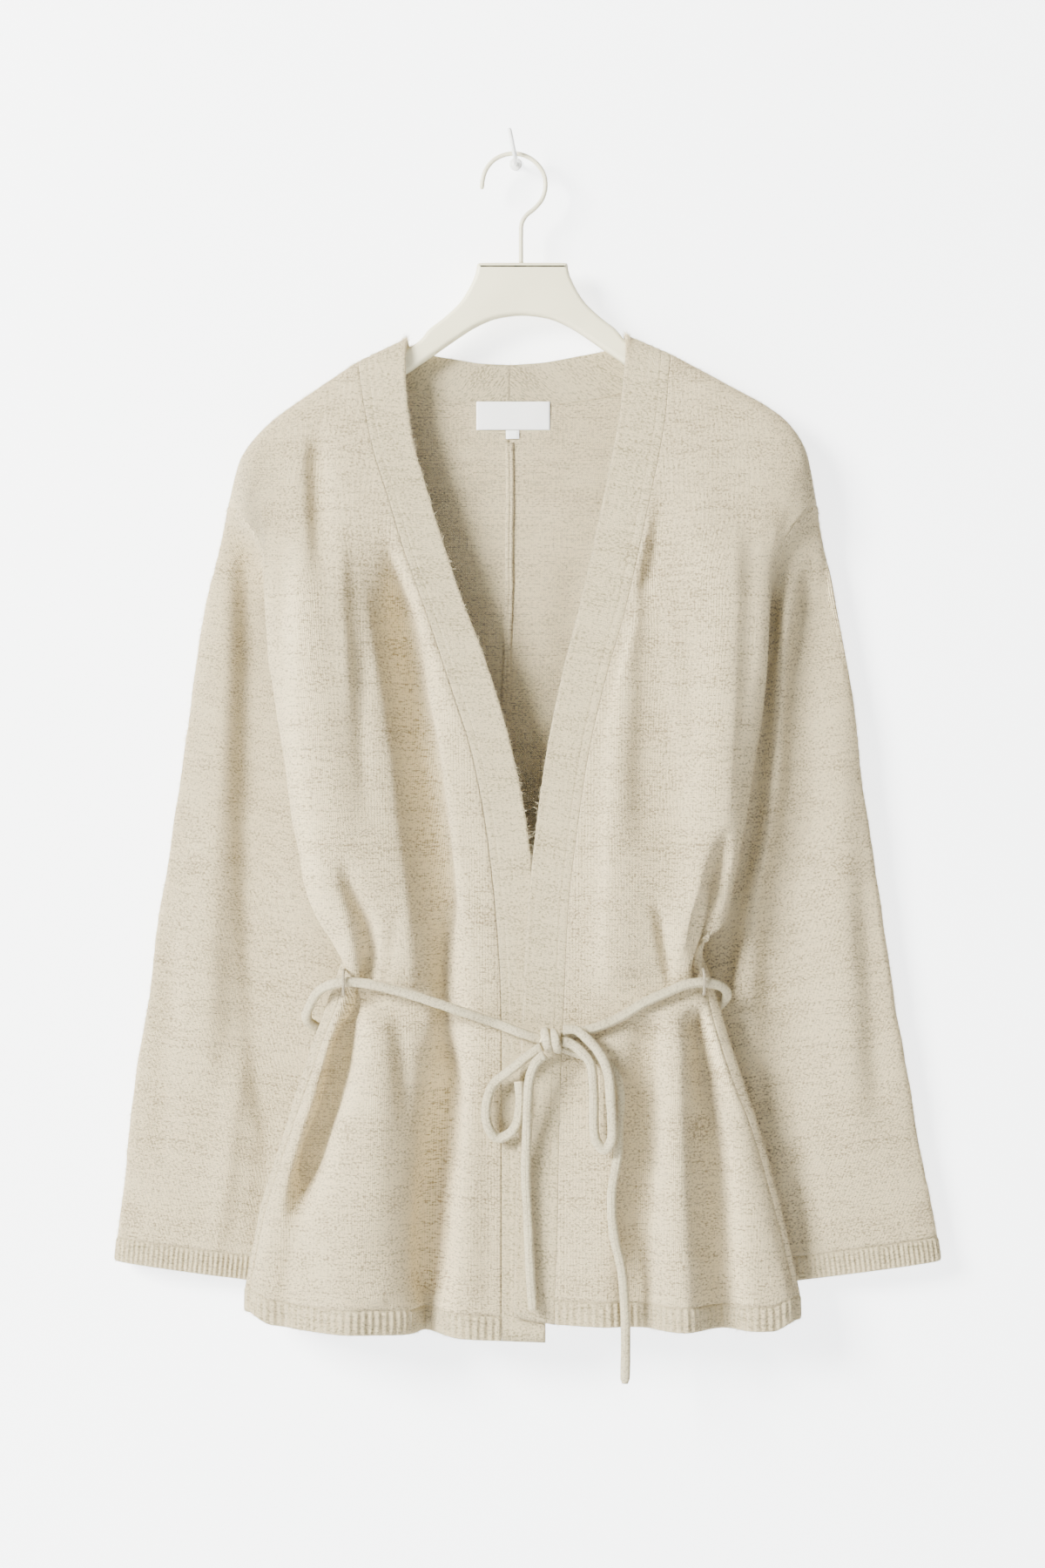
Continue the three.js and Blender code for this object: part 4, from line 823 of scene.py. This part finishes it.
BOW_RIGHT = rows_in(3,
    27.1, 7.7, -624.5, 33, 7.7, -626, 40, 7.7, -631, 46.5, 7.6, -639, 48.5, 7, -651, 49, 6.4, -667, 49, 6, -682, 51,
    6, -693, 56.5, 6.6, -698.5, 61, 7.4, -692, 61.5, 7.7, -680, 60.5, 7.7, -664, 59.5, 7.7, -650, 57, 7.7, -640, 51,
    7.7, -629.5, 44, 7.7, -622, 36.5, 7.8, -616.5, 28, 7.9, -616.5)
TAIL_LEFT = rows_in(3,
    15, 14, -633, 9, 13.5, -639, 5, 12, -650, 3.6, 8.5, -668, 3, 4, -690, 2.4, 1, -718, 4, 0, -750, 5, 0, -776, 6.5,
    0, -800, 7.5, 2, -811)
TAIL_RIGHT = rows_in(3,
    28, 0.4, -629.5, 40, 0.4, -634, 54, 0, -637.5, 63.5, 0, -646, 67, 0, -660, 66, 0, -686, 65.5, 0, -704, 61.5, 0,
    -730, 63, 0, -758, 68, 0, -780, 70.5, 0, -806, 71, 1, -835, 70.5, 2, -860)


def cord_piece(name, points, slim=None):
    path = catmull(points)
    radius = np.full(len(path), CORD)
    along = arc(path[:, None], 0)[:, 0]
    radius *= 1 + 0.03 * noise(along, along * 0, 9, 5)
    if slim is not None:
        radius *= slim(along / along[-1])
    obj = tube(name, path, radius, [cord_mat], 18)
    return obj, (path + SHIFT) * MM, float(along[-1] * MM)


waist_pts = [on_front(x, z) for x, z in WAIST_FROM] + [*WAIST_ROUND] + [on_front(x, z) for x, z in WAIST_TO]


def hang(pts):
    return [on_front(x, z, lift) for x, lift, z in pts]


def round_end(s):
    return 1 - 0.35 * ease(0.985, 1.0, s)


# Knot: two turns of the cord over a core, tipped as in the photo.
def knot_turn(centre, tilt, lean):
    a = np.linspace(-2.7, 2.7, 40)
    p = np.stack([lean * np.sin(a * 0.5) * 2, -6.4 * np.cos(a), 5.6 * np.sin(a)], -1)
    c, s = math.cos(tilt), math.sin(tilt)
    x = p[:, 0] * c - p[:, 2] * s
    z = p[:, 0] * s + p[:, 2] * c
    return np.stack([x, p[:, 1], z], -1) + centre


KNOT = np.array([19.8, -60.5, -624])
parts = [sweep(knot_turn(KNOT + off, tilt, lean), 3.3)
         for off, tilt, lean in [([-3.2, -1.0, 0.3], 0.35, 0.7), ([3.0, -1.0, -0.4], 0.1, -0.6)]]
core = catmull([KNOT + [-6.5, 1.5, 2.6], KNOT + [-2, 2.0, 0.6], KNOT + [2.5, 2.0, -0.6], KNOT + [6.5, 1.5, -2.4]])
parts.append(sweep(core, 4.6))
knot = make("tied_knot", *joined(parts), None, [cord_mat])
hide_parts("belt_knot")

for name, pts, far_end, lay, slim in [
    ("cord_waist", waist_pts, "object", "loose", None),
    ("cord_bow_left", hang(BOW_LEFT), "object", "hanging", None),
    ("cord_bow_right", hang(BOW_RIGHT), "object", "hanging", None),
    ("cord_tail_left", hang(TAIL_LEFT), "bare", "hanging", round_end),
    ("cord_tail_right", hang(TAIL_RIGHT), "bare", "hanging", round_end),
]:
    obj, real, length = cord_piece(name, pts, slim)
    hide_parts(name.replace("cord_bow", "bow_loop").replace("cord_", "belt_"))

for x, name in zip(LOOP_X, ("left", "right")):
    top = front(int(math.copysign(1, x)), 14.6, 13.4)[0, 0, 1]
    z = LOOP_Z
    bar = [[x, top - 1.2, z + 8.8], [x, -55, z + 6.8], [x, -57.3, z + 2.5], [x, -57.3, z - 2.5], [x, -55, z - 6.8],
           [x, top - 1.2, z - 8.8]]
    line = catmull(bar, 0.7)
    a = np.linspace(0, 18 * math.pi, len(line))
    parts = []
    for phase in (0, math.pi):
        twist = line + 0.45 * np.stack([np.cos(a + phase), 0.3 * np.sin(a + phase), np.sin(a + phase) * 0.5], -1)
        parts.append(sweep(twist, 0.75, 8))
    loop = make(f"thread_loop_{name}", *joined(parts), None, [thread])
    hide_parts(f"belt_loop_{name}")


# ---- Cloth panels.

def dress(g, closed, sign, extra, seed, edges):
    """Adds folds, soft unevenness and sunk seam edges along the normals; returns the skin and its normals."""
    n = unit(soften(normals(g, closed) * sign, 8, closed))
    x, z = g[..., 0], g[..., 2]
    d = extra.copy()
    d += 0.8 * noise(x, z, 46, seed) + 0.5 * noise(x, z, 19, seed + 1) + 0.16 * noise(x, z, 6, seed + 2)
    across, down = arc(g, 1), arc(g, 0)
    near = np.full(x.shape, 99.0)
    if "first" in edges:
        near = np.minimum(near, across)
    if "last" in edges:
        near = np.minimum(near, across[:, -1:] - across)
    if "top" in edges:
        near = np.minimum(near, down)
    under_cords = ease(-40, -28, x) * ease(84, 74, x) * ease(-590, -606, z) * ("cords" in edges)
    d -= under_cords * np.maximum(0, d - 0.6)
    d *= ease(0, 10, near)
    d -= 0.3 * np.exp(-((near / 1.3) ** 2))
    d += 0.15 * np.exp(-(((near - 4.2) / 2.0) ** 2))
    outer = g + n * d[..., None]
    y = outer[..., 1]
    outer[..., 1] = np.where(y > -2.2, -2.2 + 1.3 * np.tanh((y + 2.2) / 1.3), y)
    return outer, unit(soften(normals(outer, closed) * sign, 4, closed))


def knit_uv(g):
    """u runs across the cloth from its edge's distance off centre, v is the drop."""
    x = np.abs(g[..., 0])
    way = 1 if x[len(x) // 2, -1] > x[len(x) // 2, 0] else -1
    return x[:, :1] + way * arc(g, 1), -g[..., 2]


def stopped(extra, room):
    """Lets a swell's height come close to the room it has, and no further."""
    return room * np.tanh(extra / room)


panels = {}
for side, name in ((1, "left"), (-1, "right")):
    ks = np.linspace(0, ROWS, FRONT_GRID[0])
    us = np.linspace(0, SIDE_COLS, FRONT_GRID[1])
    g = front(side, ks, us)
    free = ease(0, 1.2, us)[None] * (1 - ease(13.2, 15, us))[None] * ease(1.5, 4, ks)[:, None]
    x, z = np.abs(g[..., 0]), g[..., 2]
    extra = swells(SWELLS[side], x, z) * free
    extra *= mix(1.0, belt_pinch(x, z), np.where(extra > 0, 1.0, 0.3))
    outer, n = dress(g, False, -side, extra, 11 + side, ("first", "last", "top", "cords"))
    panels[f"front_{name}"] = (outer, n)
    obj = shell(f"cloth_front_{name}", outer, outer - n * WALL, *knit_uv(g), [wool, wool_in])
    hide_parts(f"front_{name}")
    panels[f"front_{name}_obj"] = obj

    coarse = np.array([[back_point(side, k, c) for c in range(SIDE_COLS + 1)] for k in range(ROWS + 1)])
    rs = np.linspace(0, ROWS, BACK_GRID[0])
    cs = np.linspace(0, SIDE_COLS, BACK_GRID[1])
    g = upsample(coarse, rs, cs)
    free = ease(1, 4, cs)[None] * (1 - ease(11.5, 14, cs))[None] * ease(4, 6, rs)[:, None]
    extra = swells(SWELLS[0], np.abs(g[..., 0]), g[..., 2], 1.15) * free
    extra = np.where(extra > 0, stopped(extra, np.maximum(0.3, BACK_LIMIT - g[..., 1])), extra)
    outer, n = dress(g, False, side, extra, 31 + side, ("first", "last", "top"))
    panels[f"back_{name}"] = (outer, n)
    obj = shell(f"cloth_back_{name}", outer, outer - n * WALL, *knit_uv(g), [wool, wool_in])
    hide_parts(f"back_{name}")
    panels[f"back_{name}_obj"] = obj

    coarse = np.array([[sleeve_point(side, r, j) for j in range(20)] for r in range(SLEEVE_ROWS + 1)])
    rs = np.linspace(0, SLEEVE_ROWS, SLEEVE_GRID_ROWS)
    g = soften(upsample(coarse, rs, np.arange(0, 20, 0.2), True), 1, True)
    x, z = np.abs(g[..., 0]), g[..., 2]
    facing = normals(g, True)[..., 1] * side
    fore = swells(SLEEVE_SWELLS[side], x, z)
    fore = np.where(fore < 0, stopped(fore, np.maximum(0.4, SLEEVE_LIMIT - g[..., 1])), fore)
    extra = fore * ease(0.2, 0.7, -facing) + swells(SLEEVE_SWELLS[0], x, z, 0.6) * ease(0.2, 0.7, facing)
    extra *= ease(0.2, 1.6, rs)[:, None]
    outer, n = dress(g, True, side, extra, 51 + side, ("top",))
    tuck = outer[0] - outer[2]
    tuck *= 1.5 / np.linalg.norm(tuck, axis=1, keepdims=True)
    outer[0] += tuck - 0.5 * n[0]
    whole = wrap(g)
    v = -whole[..., 2] + 0.15 * np.abs(whole[..., 0])
    panels[f"sleeve_{name}"] = (outer, n)
    obj = shell(f"cloth_sleeve_{name}", outer, outer - n * WALL, arc(whole, 1), v, [wool, wool_in], True)
    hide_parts(f"sleeve_{name}_front", f"sleeve_{name}_back")
    panels[f"sleeve_{name}_obj"] = obj


# ---- Ribbed hems and cuffs: cosine ribs outside and in.

def ribbed(name, row, n, closed, drop, pitch, depth=1.15):
    line = np.concatenate([row, row[:1]]) if closed else row
    face = np.concatenate([n, n[:1]]) if closed else n
    s = arc(line[:, None], 0)[:, 0]
    d = np.linspace(0, s[-1], round(s[-1] / pitch) * 8 + 1)
    at = np.stack([np.interp(d, s, line[:, i]) for i in range(3)], -1)
    nn = np.stack([np.interp(d, s, face[:, i]) for i in range(3)], -1)
    nn[:, 2] *= 0.2
    nn = unit(nn)
    if closed:
        at, nn, d = at[:-1], nn[:-1], d[:-1]
    wave = 0.5 - 0.5 * np.cos(2 * math.pi * np.arange(len(at)) / 8)
    fine = noise(d, d * 0 + 3, pitch, 71)
    levels = np.array([-0.6, 1.0, 2.2, 5.0, 8.5, 12.0, 14.8, 16.2, HEM_HEIGHT])
    outer, inner = [], []
    for h in levels:
        grow = ease(0, 2.0, h) * (1 - 0.7 * ease(HEM_HEIGHT - 1.6, HEM_HEIGHT, h))
        swell = depth * wave * grow + 0.15 * fine * grow
        pinch = 0.4 * ease(HEM_HEIGHT - 1.4, HEM_HEIGHT, h)
        outer.append(at + nn * (swell - pinch - 0.5 * (h < 0))[:, None] + drop * h)
        inner.append(at - nn * (WALL - 0.35 - 0.5 * depth * wave * grow - pinch)[:, None] + drop * h)
    outer, inner = np.array(outer), np.array(inner)
    panels[name] = (outer[3:], np.broadcast_to(nn, outer.shape)[3:])
    wide = np.concatenate([d, [s[-1]]]) if closed else d
    u = np.broadcast_to(wide, (len(levels), len(wide)))
    v = np.broadcast_to(levels[:, None], u.shape)
    return shell(name, outer, inner, u, v, [rib, rib], closed)


for name, panel, closed, drop, pitch in [
    ("hem_front_left", "front_left", False, (0.02, 0, -1), RIB_PITCH),
    ("hem_front_right", "front_right", False, (-0.02, 0, -1), RIB_PITCH),
    ("hem_back_left", "back_left", False, (0.02, 0, -1), RIB_PITCH),
    ("hem_back_right", "back_right", False, (-0.02, 0, -1), RIB_PITCH),
    ("cuff_left", "sleeve_left", True, (0.13, 0, -0.99), CUFF_PITCH),
    ("cuff_right", "sleeve_right", True, (-0.1, 0, -0.99), CUFF_PITCH),
]:
    outer, n = panels[panel]
    obj = ribbed(f"rib_{name}", outer[-1], n[-1], closed, np.array(drop), pitch)
    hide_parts(name)

# ---- Ribbed bands: hem, up the V, over the shoulder and along the back neck to the centre.
for side, name in ((1, "left"), (-1, "right")):
    ks = np.linspace(ROWS, 0, 300)
    f = rows_of(EDGE[side], ks)[:, 1:] * np.array([side, 1, 1])
    s = front(side, ks, 0)[:, 0]
    nk = curve(np.arange(NECK_COLS + 1), NECK[side], np.linspace(0, NECK_COLS, 90)[1:])
    hem = np.array([[0, 0, HEM_HEIGHT], [0, 0, HEM_HEIGHT / 2]])
    f, s = (np.concatenate([q[:1] - hem, q, end * [side, 1, 1]]) for q, end in ((f, nk[:, 3:]), (s, nk[:, :3])))
    f, s = (soften(np.stack([q, q], 1), 3)[:, 0] for q in (f, s))
    outward = s - f
    s += 0.3 * outward / np.linalg.norm(outward, axis=1, keepdims=True)
    f[-1, 0] -= 0.5 * side
    s[-1, 0] -= 0.5 * side
    cols = np.linspace(0, 1, BAND_COLUMNS)
    base = mix(f[:, None], s[:, None], cols[None, :, None])
    n = unit(soften(normals(base) * side, 6))
    ribs = 0.5 - 0.5 * np.cos(2 * math.pi * cols * 6)
    groove = 0.9 * np.exp(-(((cols - 0.8) / 0.022) ** 2)) + 0.5 * np.exp(-(((cols - 1) / 0.024) ** 2))
    v = arc(base, 0)
    lump = 0.25 * noise(v, base[..., 0] * 0.5, 22, 81 + side)
    d = 0.15 * ribs[None] - 0.42 * groove[None] + lump * (1 - cols[None])
    roundy = 1 - 0.8 * np.exp(-((cols / 0.03) ** 2))
    outer = base + n * (d - 0.9 * (1 - roundy))[..., None]
    inner = base - n * (WALL - 0.2 * ribs[None] - 0.5 * (1 - roundy)[None])[..., None]
    u = np.broadcast_to(cols * BAND_WIDTH, v.shape)
    panels[f"band_{name}"] = (outer, n)
    panels[f"edge_{name}"] = (outer[:, :5], n[:, :5] + (base[:, :1] - base[:, -1:]) / BAND_WIDTH)
    obj = shell(f"rib_band_{name}", outer, inner, u, v, [rib, rib])
    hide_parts(f"band_{name}")


# ---- Fuzz: short straight fibres standing off the knit.

def fuzz(name, sources, count, seed, long=(2.4, 6.0)):
    """Short tapered fibres, closed spikes of four triangles, that stand off the cloth."""
    rng = np.random.default_rng(seed)
    weights = np.array([w for _, _, w in sources], float)
    root, up = [], []
    for (skin_, n_, _), share in zip(sources, weights / weights.sum()):
        m = int(count * share)
        rows, cols = skin_.shape[:2]
        i = rng.integers(0, rows - 1, m)
        j = rng.integers(0, cols - 1, m)
        a, b = rng.random((m, 1)), rng.random((m, 1))
        p = mix(mix(skin_[i, j], skin_[i + 1, j], a), mix(skin_[i, j + 1], skin_[i + 1, j + 1], a), b)
        root.append(p - 0.25 * n_[i, j])
        up.append(n_[i, j])
    root, up = np.concatenate(root), np.concatenate(up)
    m = len(root)
    swirl = rng.normal(size=(m, 3))
    flat = unit(swirl - up * (swirl * up).sum(1, keepdims=True))
    size = rng.uniform(*long, (m, 1)) * rng.uniform(0.5, 1.0, (m, 1))
    lift = rng.uniform(0.2, 1.0, (m, 1)) ** 1.3
    thick = rng.uniform(0.10, 0.16, (m, 1))
    tip = root + size * (flat * 0.8 + up * lift * 0.75)
    tip[:, 1] = np.minimum(tip[:, 1], -0.4)
    across = unit(np.cross(tip - root, up))
    high = unit(np.cross(across, tip - root))
    verts = np.empty((m, 4, 3))
    for k in range(3):
        a = k * 2 * math.pi / 3
        verts[:, k] = root + (math.cos(a) * across + math.sin(a) * high) * thick
    verts[:, 3] = tip
    tris = np.array([[0, 2, 1], [0, 1, 3], [1, 2, 3], [2, 0, 3]])
    faces = (tris[None] + (np.arange(m) * 4)[:, None, None]).reshape(-1, 3)
    uv = np.repeat(rng.random((m, 2)), 12, 0)
    obj = make(name, verts.reshape(-1, 3), faces, uv, None, [hair])


hair = knit("fibre", (0.85, 0.74, 0.50), (0.55, 0.45, 0.28))
for side, name in ((1, "left"), (-1, "right")):
    skin_, n_ = panels[f"sleeve_{name}"]
    fuzz(f"fuzz_front_{name}", [
        (*panels[f"front_{name}"], 7), (*panels[f"band_{name}"], 1.5), (*panels[f"edge_{name}"], 3),
        (*panels[f"rib_hem_front_{name}"], 1.2)], 11500, 201 + side)
    fuzz(f"fuzz_back_{name}", [(*panels[f"back_{name}"], 7), (*panels[f"rib_hem_back_{name}"], 1)], 4000, 211 + side)
    fuzz(f"fuzz_sleeve_{name}", [(skin_, n_, 7), (skin_[:, :9], n_[:, :9], 2), (skin_[:, -8:], n_[:, -8:], 1.5),
                                 (*panels[f"rib_cuff_{name}"], 1.2)], 12000, 221 + side)

# ---- Cuts, in metres: flat width and length, and the cut's own area; the loop below does nothing with them.
for name, flat, area, rests, extras in [
    ("front_left", (0.24, 0.66), 0.115, ["hanger_body"], ["hem_front_left"]),
    ("front_right", (0.24, 0.66), 0.115, ["hanger_body"], ["hem_front_right"]),
    ("back_left", (0.25, 0.64), 0.12, ["hanger_body"], ["hem_back_left"]),
    ("back_right", (0.25, 0.64), 0.12, ["hanger_body"], ["hem_back_right"]),
    ("sleeve_left", (0.34, 0.52), 0.135, ["front_left"], ["cuff_left"]),
    ("sleeve_right", (0.34, 0.52), 0.135, ["front_right"], ["cuff_right"]),
]:
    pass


# ---- Raised centre-back seam, label and size tab.
ks = np.linspace(1.1, 21.8, 120)
line = []
for k in ks:
    a, b = math.floor(k), min(ROWS, math.floor(k) + 1)
    p = mix(back_point(1, a, 0), back_point(1, b, 0), k - a)
    p[2] = -179.5 - 25 * k if k <= 10 else -429.5 - 31.4 * (k - 10)
    line.append(p)
line = np.array(line)
line[:, 1] -= WALL
line[:, 0] += 0.35 * noise(line[:, 2], line[:, 2] * 0, 18, 91)
cols = np.linspace(-1, 1, 17)
high = 2.0 * np.sqrt(np.clip(1 - cols ** 2, 0, 1)) - 0.7 * np.exp(-((cols / 0.16) ** 2))
outer = line[:, None] + np.stack(np.broadcast_arrays(3.1 * cols, -high, 0 * cols), -1)[None]
inner = line[:, None] + np.stack(np.broadcast_arrays(3.1 * cols, 0.25 + 0 * cols, 0 * cols), -1)[None]
v = arc(outer, 0)
u = np.broadcast_to((cols + 1) * 3.4, v.shape)
ridge = shell("seam_ridge", outer, inner, u, v, [wool_in, wool_in])
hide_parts("back_seam_ridge")


def tape_piece(name, node, cx, cz, wide, tall, seed):
    xs = np.linspace(-wide / 2, wide / 2, 41)
    zs = np.linspace(tall / 2, -tall / 2, 21)
    gx, gz = np.meshgrid(xs, zs)
    wave = 0.18 * noise(gx + 50, gz + 20, 9, seed)
    pinch = np.maximum(np.exp(-((gx - xs[0]) / 1.4) ** 2), np.exp(-((gx - xs[-1]) / 1.4) ** 2))
    swell = 0.25 * (1 - (2 * gx / wide) ** 4) * (1 - (2 * gz / tall) ** 4)
    face = -11.6 - 0.35 - swell - wave + 0.25 * pinch
    outer = np.stack([gx + cx, face, gz + cz], -1)
    inner = outer + [0, 0.5, 0]
    obj = shell(name, outer, inner, gx, gz, [tape, tape])
    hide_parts(node)


tape_piece("woven_label", "neck_label", -6.5, -188, 52, 20, 95)
tape_piece("woven_tab", "size_tab", -7, -201.3, 9.4, 6, 96)

# ---- Hanger: rounded moulding, wire hook, and the wall hook.
half = np.concatenate([HANGER_TOP, HANGER_UNDER])
mirror = half[:-1][::-1] * [-1, 1]
outline = np.concatenate([half, mirror])
ring = np.concatenate([outline, outline[:1]])
knots = np.arange(len(ring))
fine = np.concatenate([ring[-4:-1], ring, ring[1:4]])
fine = curve(np.arange(-3, len(ring) + 3), fine, np.linspace(0, len(ring) - 1, 361)[:-1])
for _ in range(2):
    fine = fine * 0.5 + (np.roll(fine, 1, 0) + np.roll(fine, -1, 0)) * 0.25
tangent = unit(np.roll(fine, -1, 0) - np.roll(fine, 1, 0))
inward = np.stack([tangent[:, 1], -tangent[:, 0]], -1)
points = []
RAD = 3.2
profile = [(-5.5, RAD)] + [
    (-5.5 + RAD * (1 - math.cos(a)), RAD * (1 - math.sin(a))) for a in np.linspace(0.15, math.pi / 2, 7)]
profile += [(-y, w) for y, w in profile[::-1]]
for y, w in profile:
    q = fine + inward * w
    points.append(np.stack([q[:, 0], np.full(len(q), -20 + y), q[:, 1]], -1))
ids = np.arange(len(profile) * len(fine)).reshape(len(profile), len(fine))
faces = [*quads_of(wrap(ids)), ids[0], ids[-1][::-1]]
body = make("hanger_moulding", np.concatenate(points), faces, None, None, [plastic])
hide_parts("hanger_body")

hook = rows_in(2,
    -28.5, -30, -28, -24, -25.5, -16, -20, -9.5, -13, -6, -5, -5, 3, -7, 10, -12, 15, -19.5, 16.2, -28, 14, -36.5,
    8.5, -43.5, 2.5, -48.5, -0.5, -54, -1, -62, -1, -81.7)
path = catmull([[x, -20, z] for x, z in hook], 1.2)
radius = WIRE * (1 - 0.5 * (1 - ease(0, 1.6, arc(path[:, None], 0)[:, 0])))
wire = tube("hanger_wire_hook", path, radius, [wire_mat], 16)
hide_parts("hanger_hook")

rx, rz = -4.9, -8.4
stem = catmull([
    [rx, -1.8, rz], [rx, -10.8, rz], [rx, -20.8, rz], [rx - 0.3, -25.3, rz + 0.8], [rx - 1.4, -27.8, rz + 5],
    [rx - 2.8, -28.4, rz + 12], [rx - 4.3, -28.6, rz + 19.5],
], 1.0)
far = arc(stem[:, None], 0)[:, 0]
rose = [(0.0, 4.5), (-0.6, 4.5), (-1.0, 4.3), (-1.3, 3.8), (-1.45, 2.6), (-1.5, 1.6)]
spine = np.concatenate([[[rx, y, rz] for y, _ in rose], stem])
radii = np.concatenate([[r for _, r in rose], 1.5 * (1 - 0.45 * ease(far[-1] - 1.4, far[-1], far))])
pin = tube("wall_hook_wire", spine, radii, [paint], 24)
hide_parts("wall_hook")

# ---- Wall and floor: seen from the room's side only, and no bar to the lamps.
backdrop, tree, bsdf = nodes_of("pale_wall")
coord = tree.nodes.new("ShaderNodeTexCoord")
grain = noise_node(tree, coord.outputs["Object"], (3, 3, 3), 3.0)
tree.links.new(ramp_node(tree, grain, [(0.3, (0.80, 0.81, 0.825)), (0.7, (0.83, 0.84, 0.855))]),
               bsdf.inputs["Base Color"])
bsdf.inputs["Roughness"].default_value = 0.9
bsdf.inputs["Specular IOR Level"].default_value = 0.1
glow = tree.nodes.new("ShaderNodeEmission")
glow.inputs["Color"].default_value = (0.955, 0.975, 1.0, 1)
rays = tree.nodes.new("ShaderNodeLightPath")
tree.links.new(math_node(tree, "MULTIPLY", rays.outputs["Is Camera Ray"], 3.0), glow.inputs["Strength"])
lit = tree.nodes.new("ShaderNodeAddShader")
tree.links.new(bsdf.outputs[0], lit.inputs[0])
tree.links.new(glow.outputs[0], lit.inputs[1])
clear = tree.nodes.new("ShaderNodeBsdfTransparent")
geometry = tree.nodes.new("ShaderNodeNewGeometry")
blend = tree.nodes.new("ShaderNodeMixShader")
see_through = math_node(tree, "MAXIMUM", geometry.outputs["Backfacing"], rays.outputs["Is Shadow Ray"])
tree.links.new(see_through, blend.inputs[0])
tree.links.new(lit.outputs[0], blend.inputs[1])
tree.links.new(clear.outputs[0], blend.inputs[2])
tree.links.new(blend.outputs[0], tree.nodes["Material Output"].inputs["Surface"])


def plane(name, corners):
    mesh = bpy.data.meshes.new(name)
    mesh.from_pydata(corners, [], [(0, 1, 2, 3)])
    mesh.materials.append(backdrop)
    obj = bpy.data.objects.new(name, mesh)
    bpy.context.scene.collection.objects.link(obj)


plane("wall", [(-REACH, WALL_Y, FLOOR_Z), (REACH, WALL_Y, FLOOR_Z), (REACH, WALL_Y, 3), (-REACH, WALL_Y, 3)])
plane("floor", [(-REACH, -REACH, FLOOR_Z), (REACH, -REACH, FLOOR_Z), (REACH, WALL_Y, FLOOR_Z),
                (-REACH, WALL_Y, FLOOR_Z)])


def area(name, place, aim, size, power, colour):
    data = bpy.data.lights.new(name, "AREA")
    data.shape = "SQUARE"
    data.size = size
    data.energy = power
    data.color = colour
    obj = bpy.data.objects.new(name, data)
    obj.location = place
    obj.rotation_euler = (Vector(aim) - Vector(place)).to_track_quat("-Z", "Y").to_euler()
    bpy.context.scene.collection.objects.link(obj)


area("key", (-2.7, -2.35, 1.0), (0, 0, -0.4), 1.3, 690, (1.0, 1.0, 0.945))
area("rear", (1.6, 3.0, 0.9), (0, 0, -0.4), 1.4, 330, (1.0, 0.985, 0.95))
area("fill", (1.6, -3.0, 0.4), (0, 0, -0.4), 1.8, 7, (0.96, 0.98, 1.0))
area("front", (0.1, -3.3, -0.2), (0, 0, -0.42), 0.5, 24, (1.0, 0.985, 0.95))
world = bpy.data.worlds.new("room")
bpy.context.scene.world = world
world.use_nodes = True
tree = world.node_tree
sky = tree.nodes["Background"]
sky.inputs["Color"].default_value = (1.0, 0.955, 0.95, 1)
seen = tree.nodes.new("ShaderNodeLightPath")
tree.links.new(math_node(tree, "MULTIPLY_ADD", seen.outputs["Is Camera Ray"], 3.4, 0.10), sky.inputs["Strength"])

bpy.context.view_layer.update()
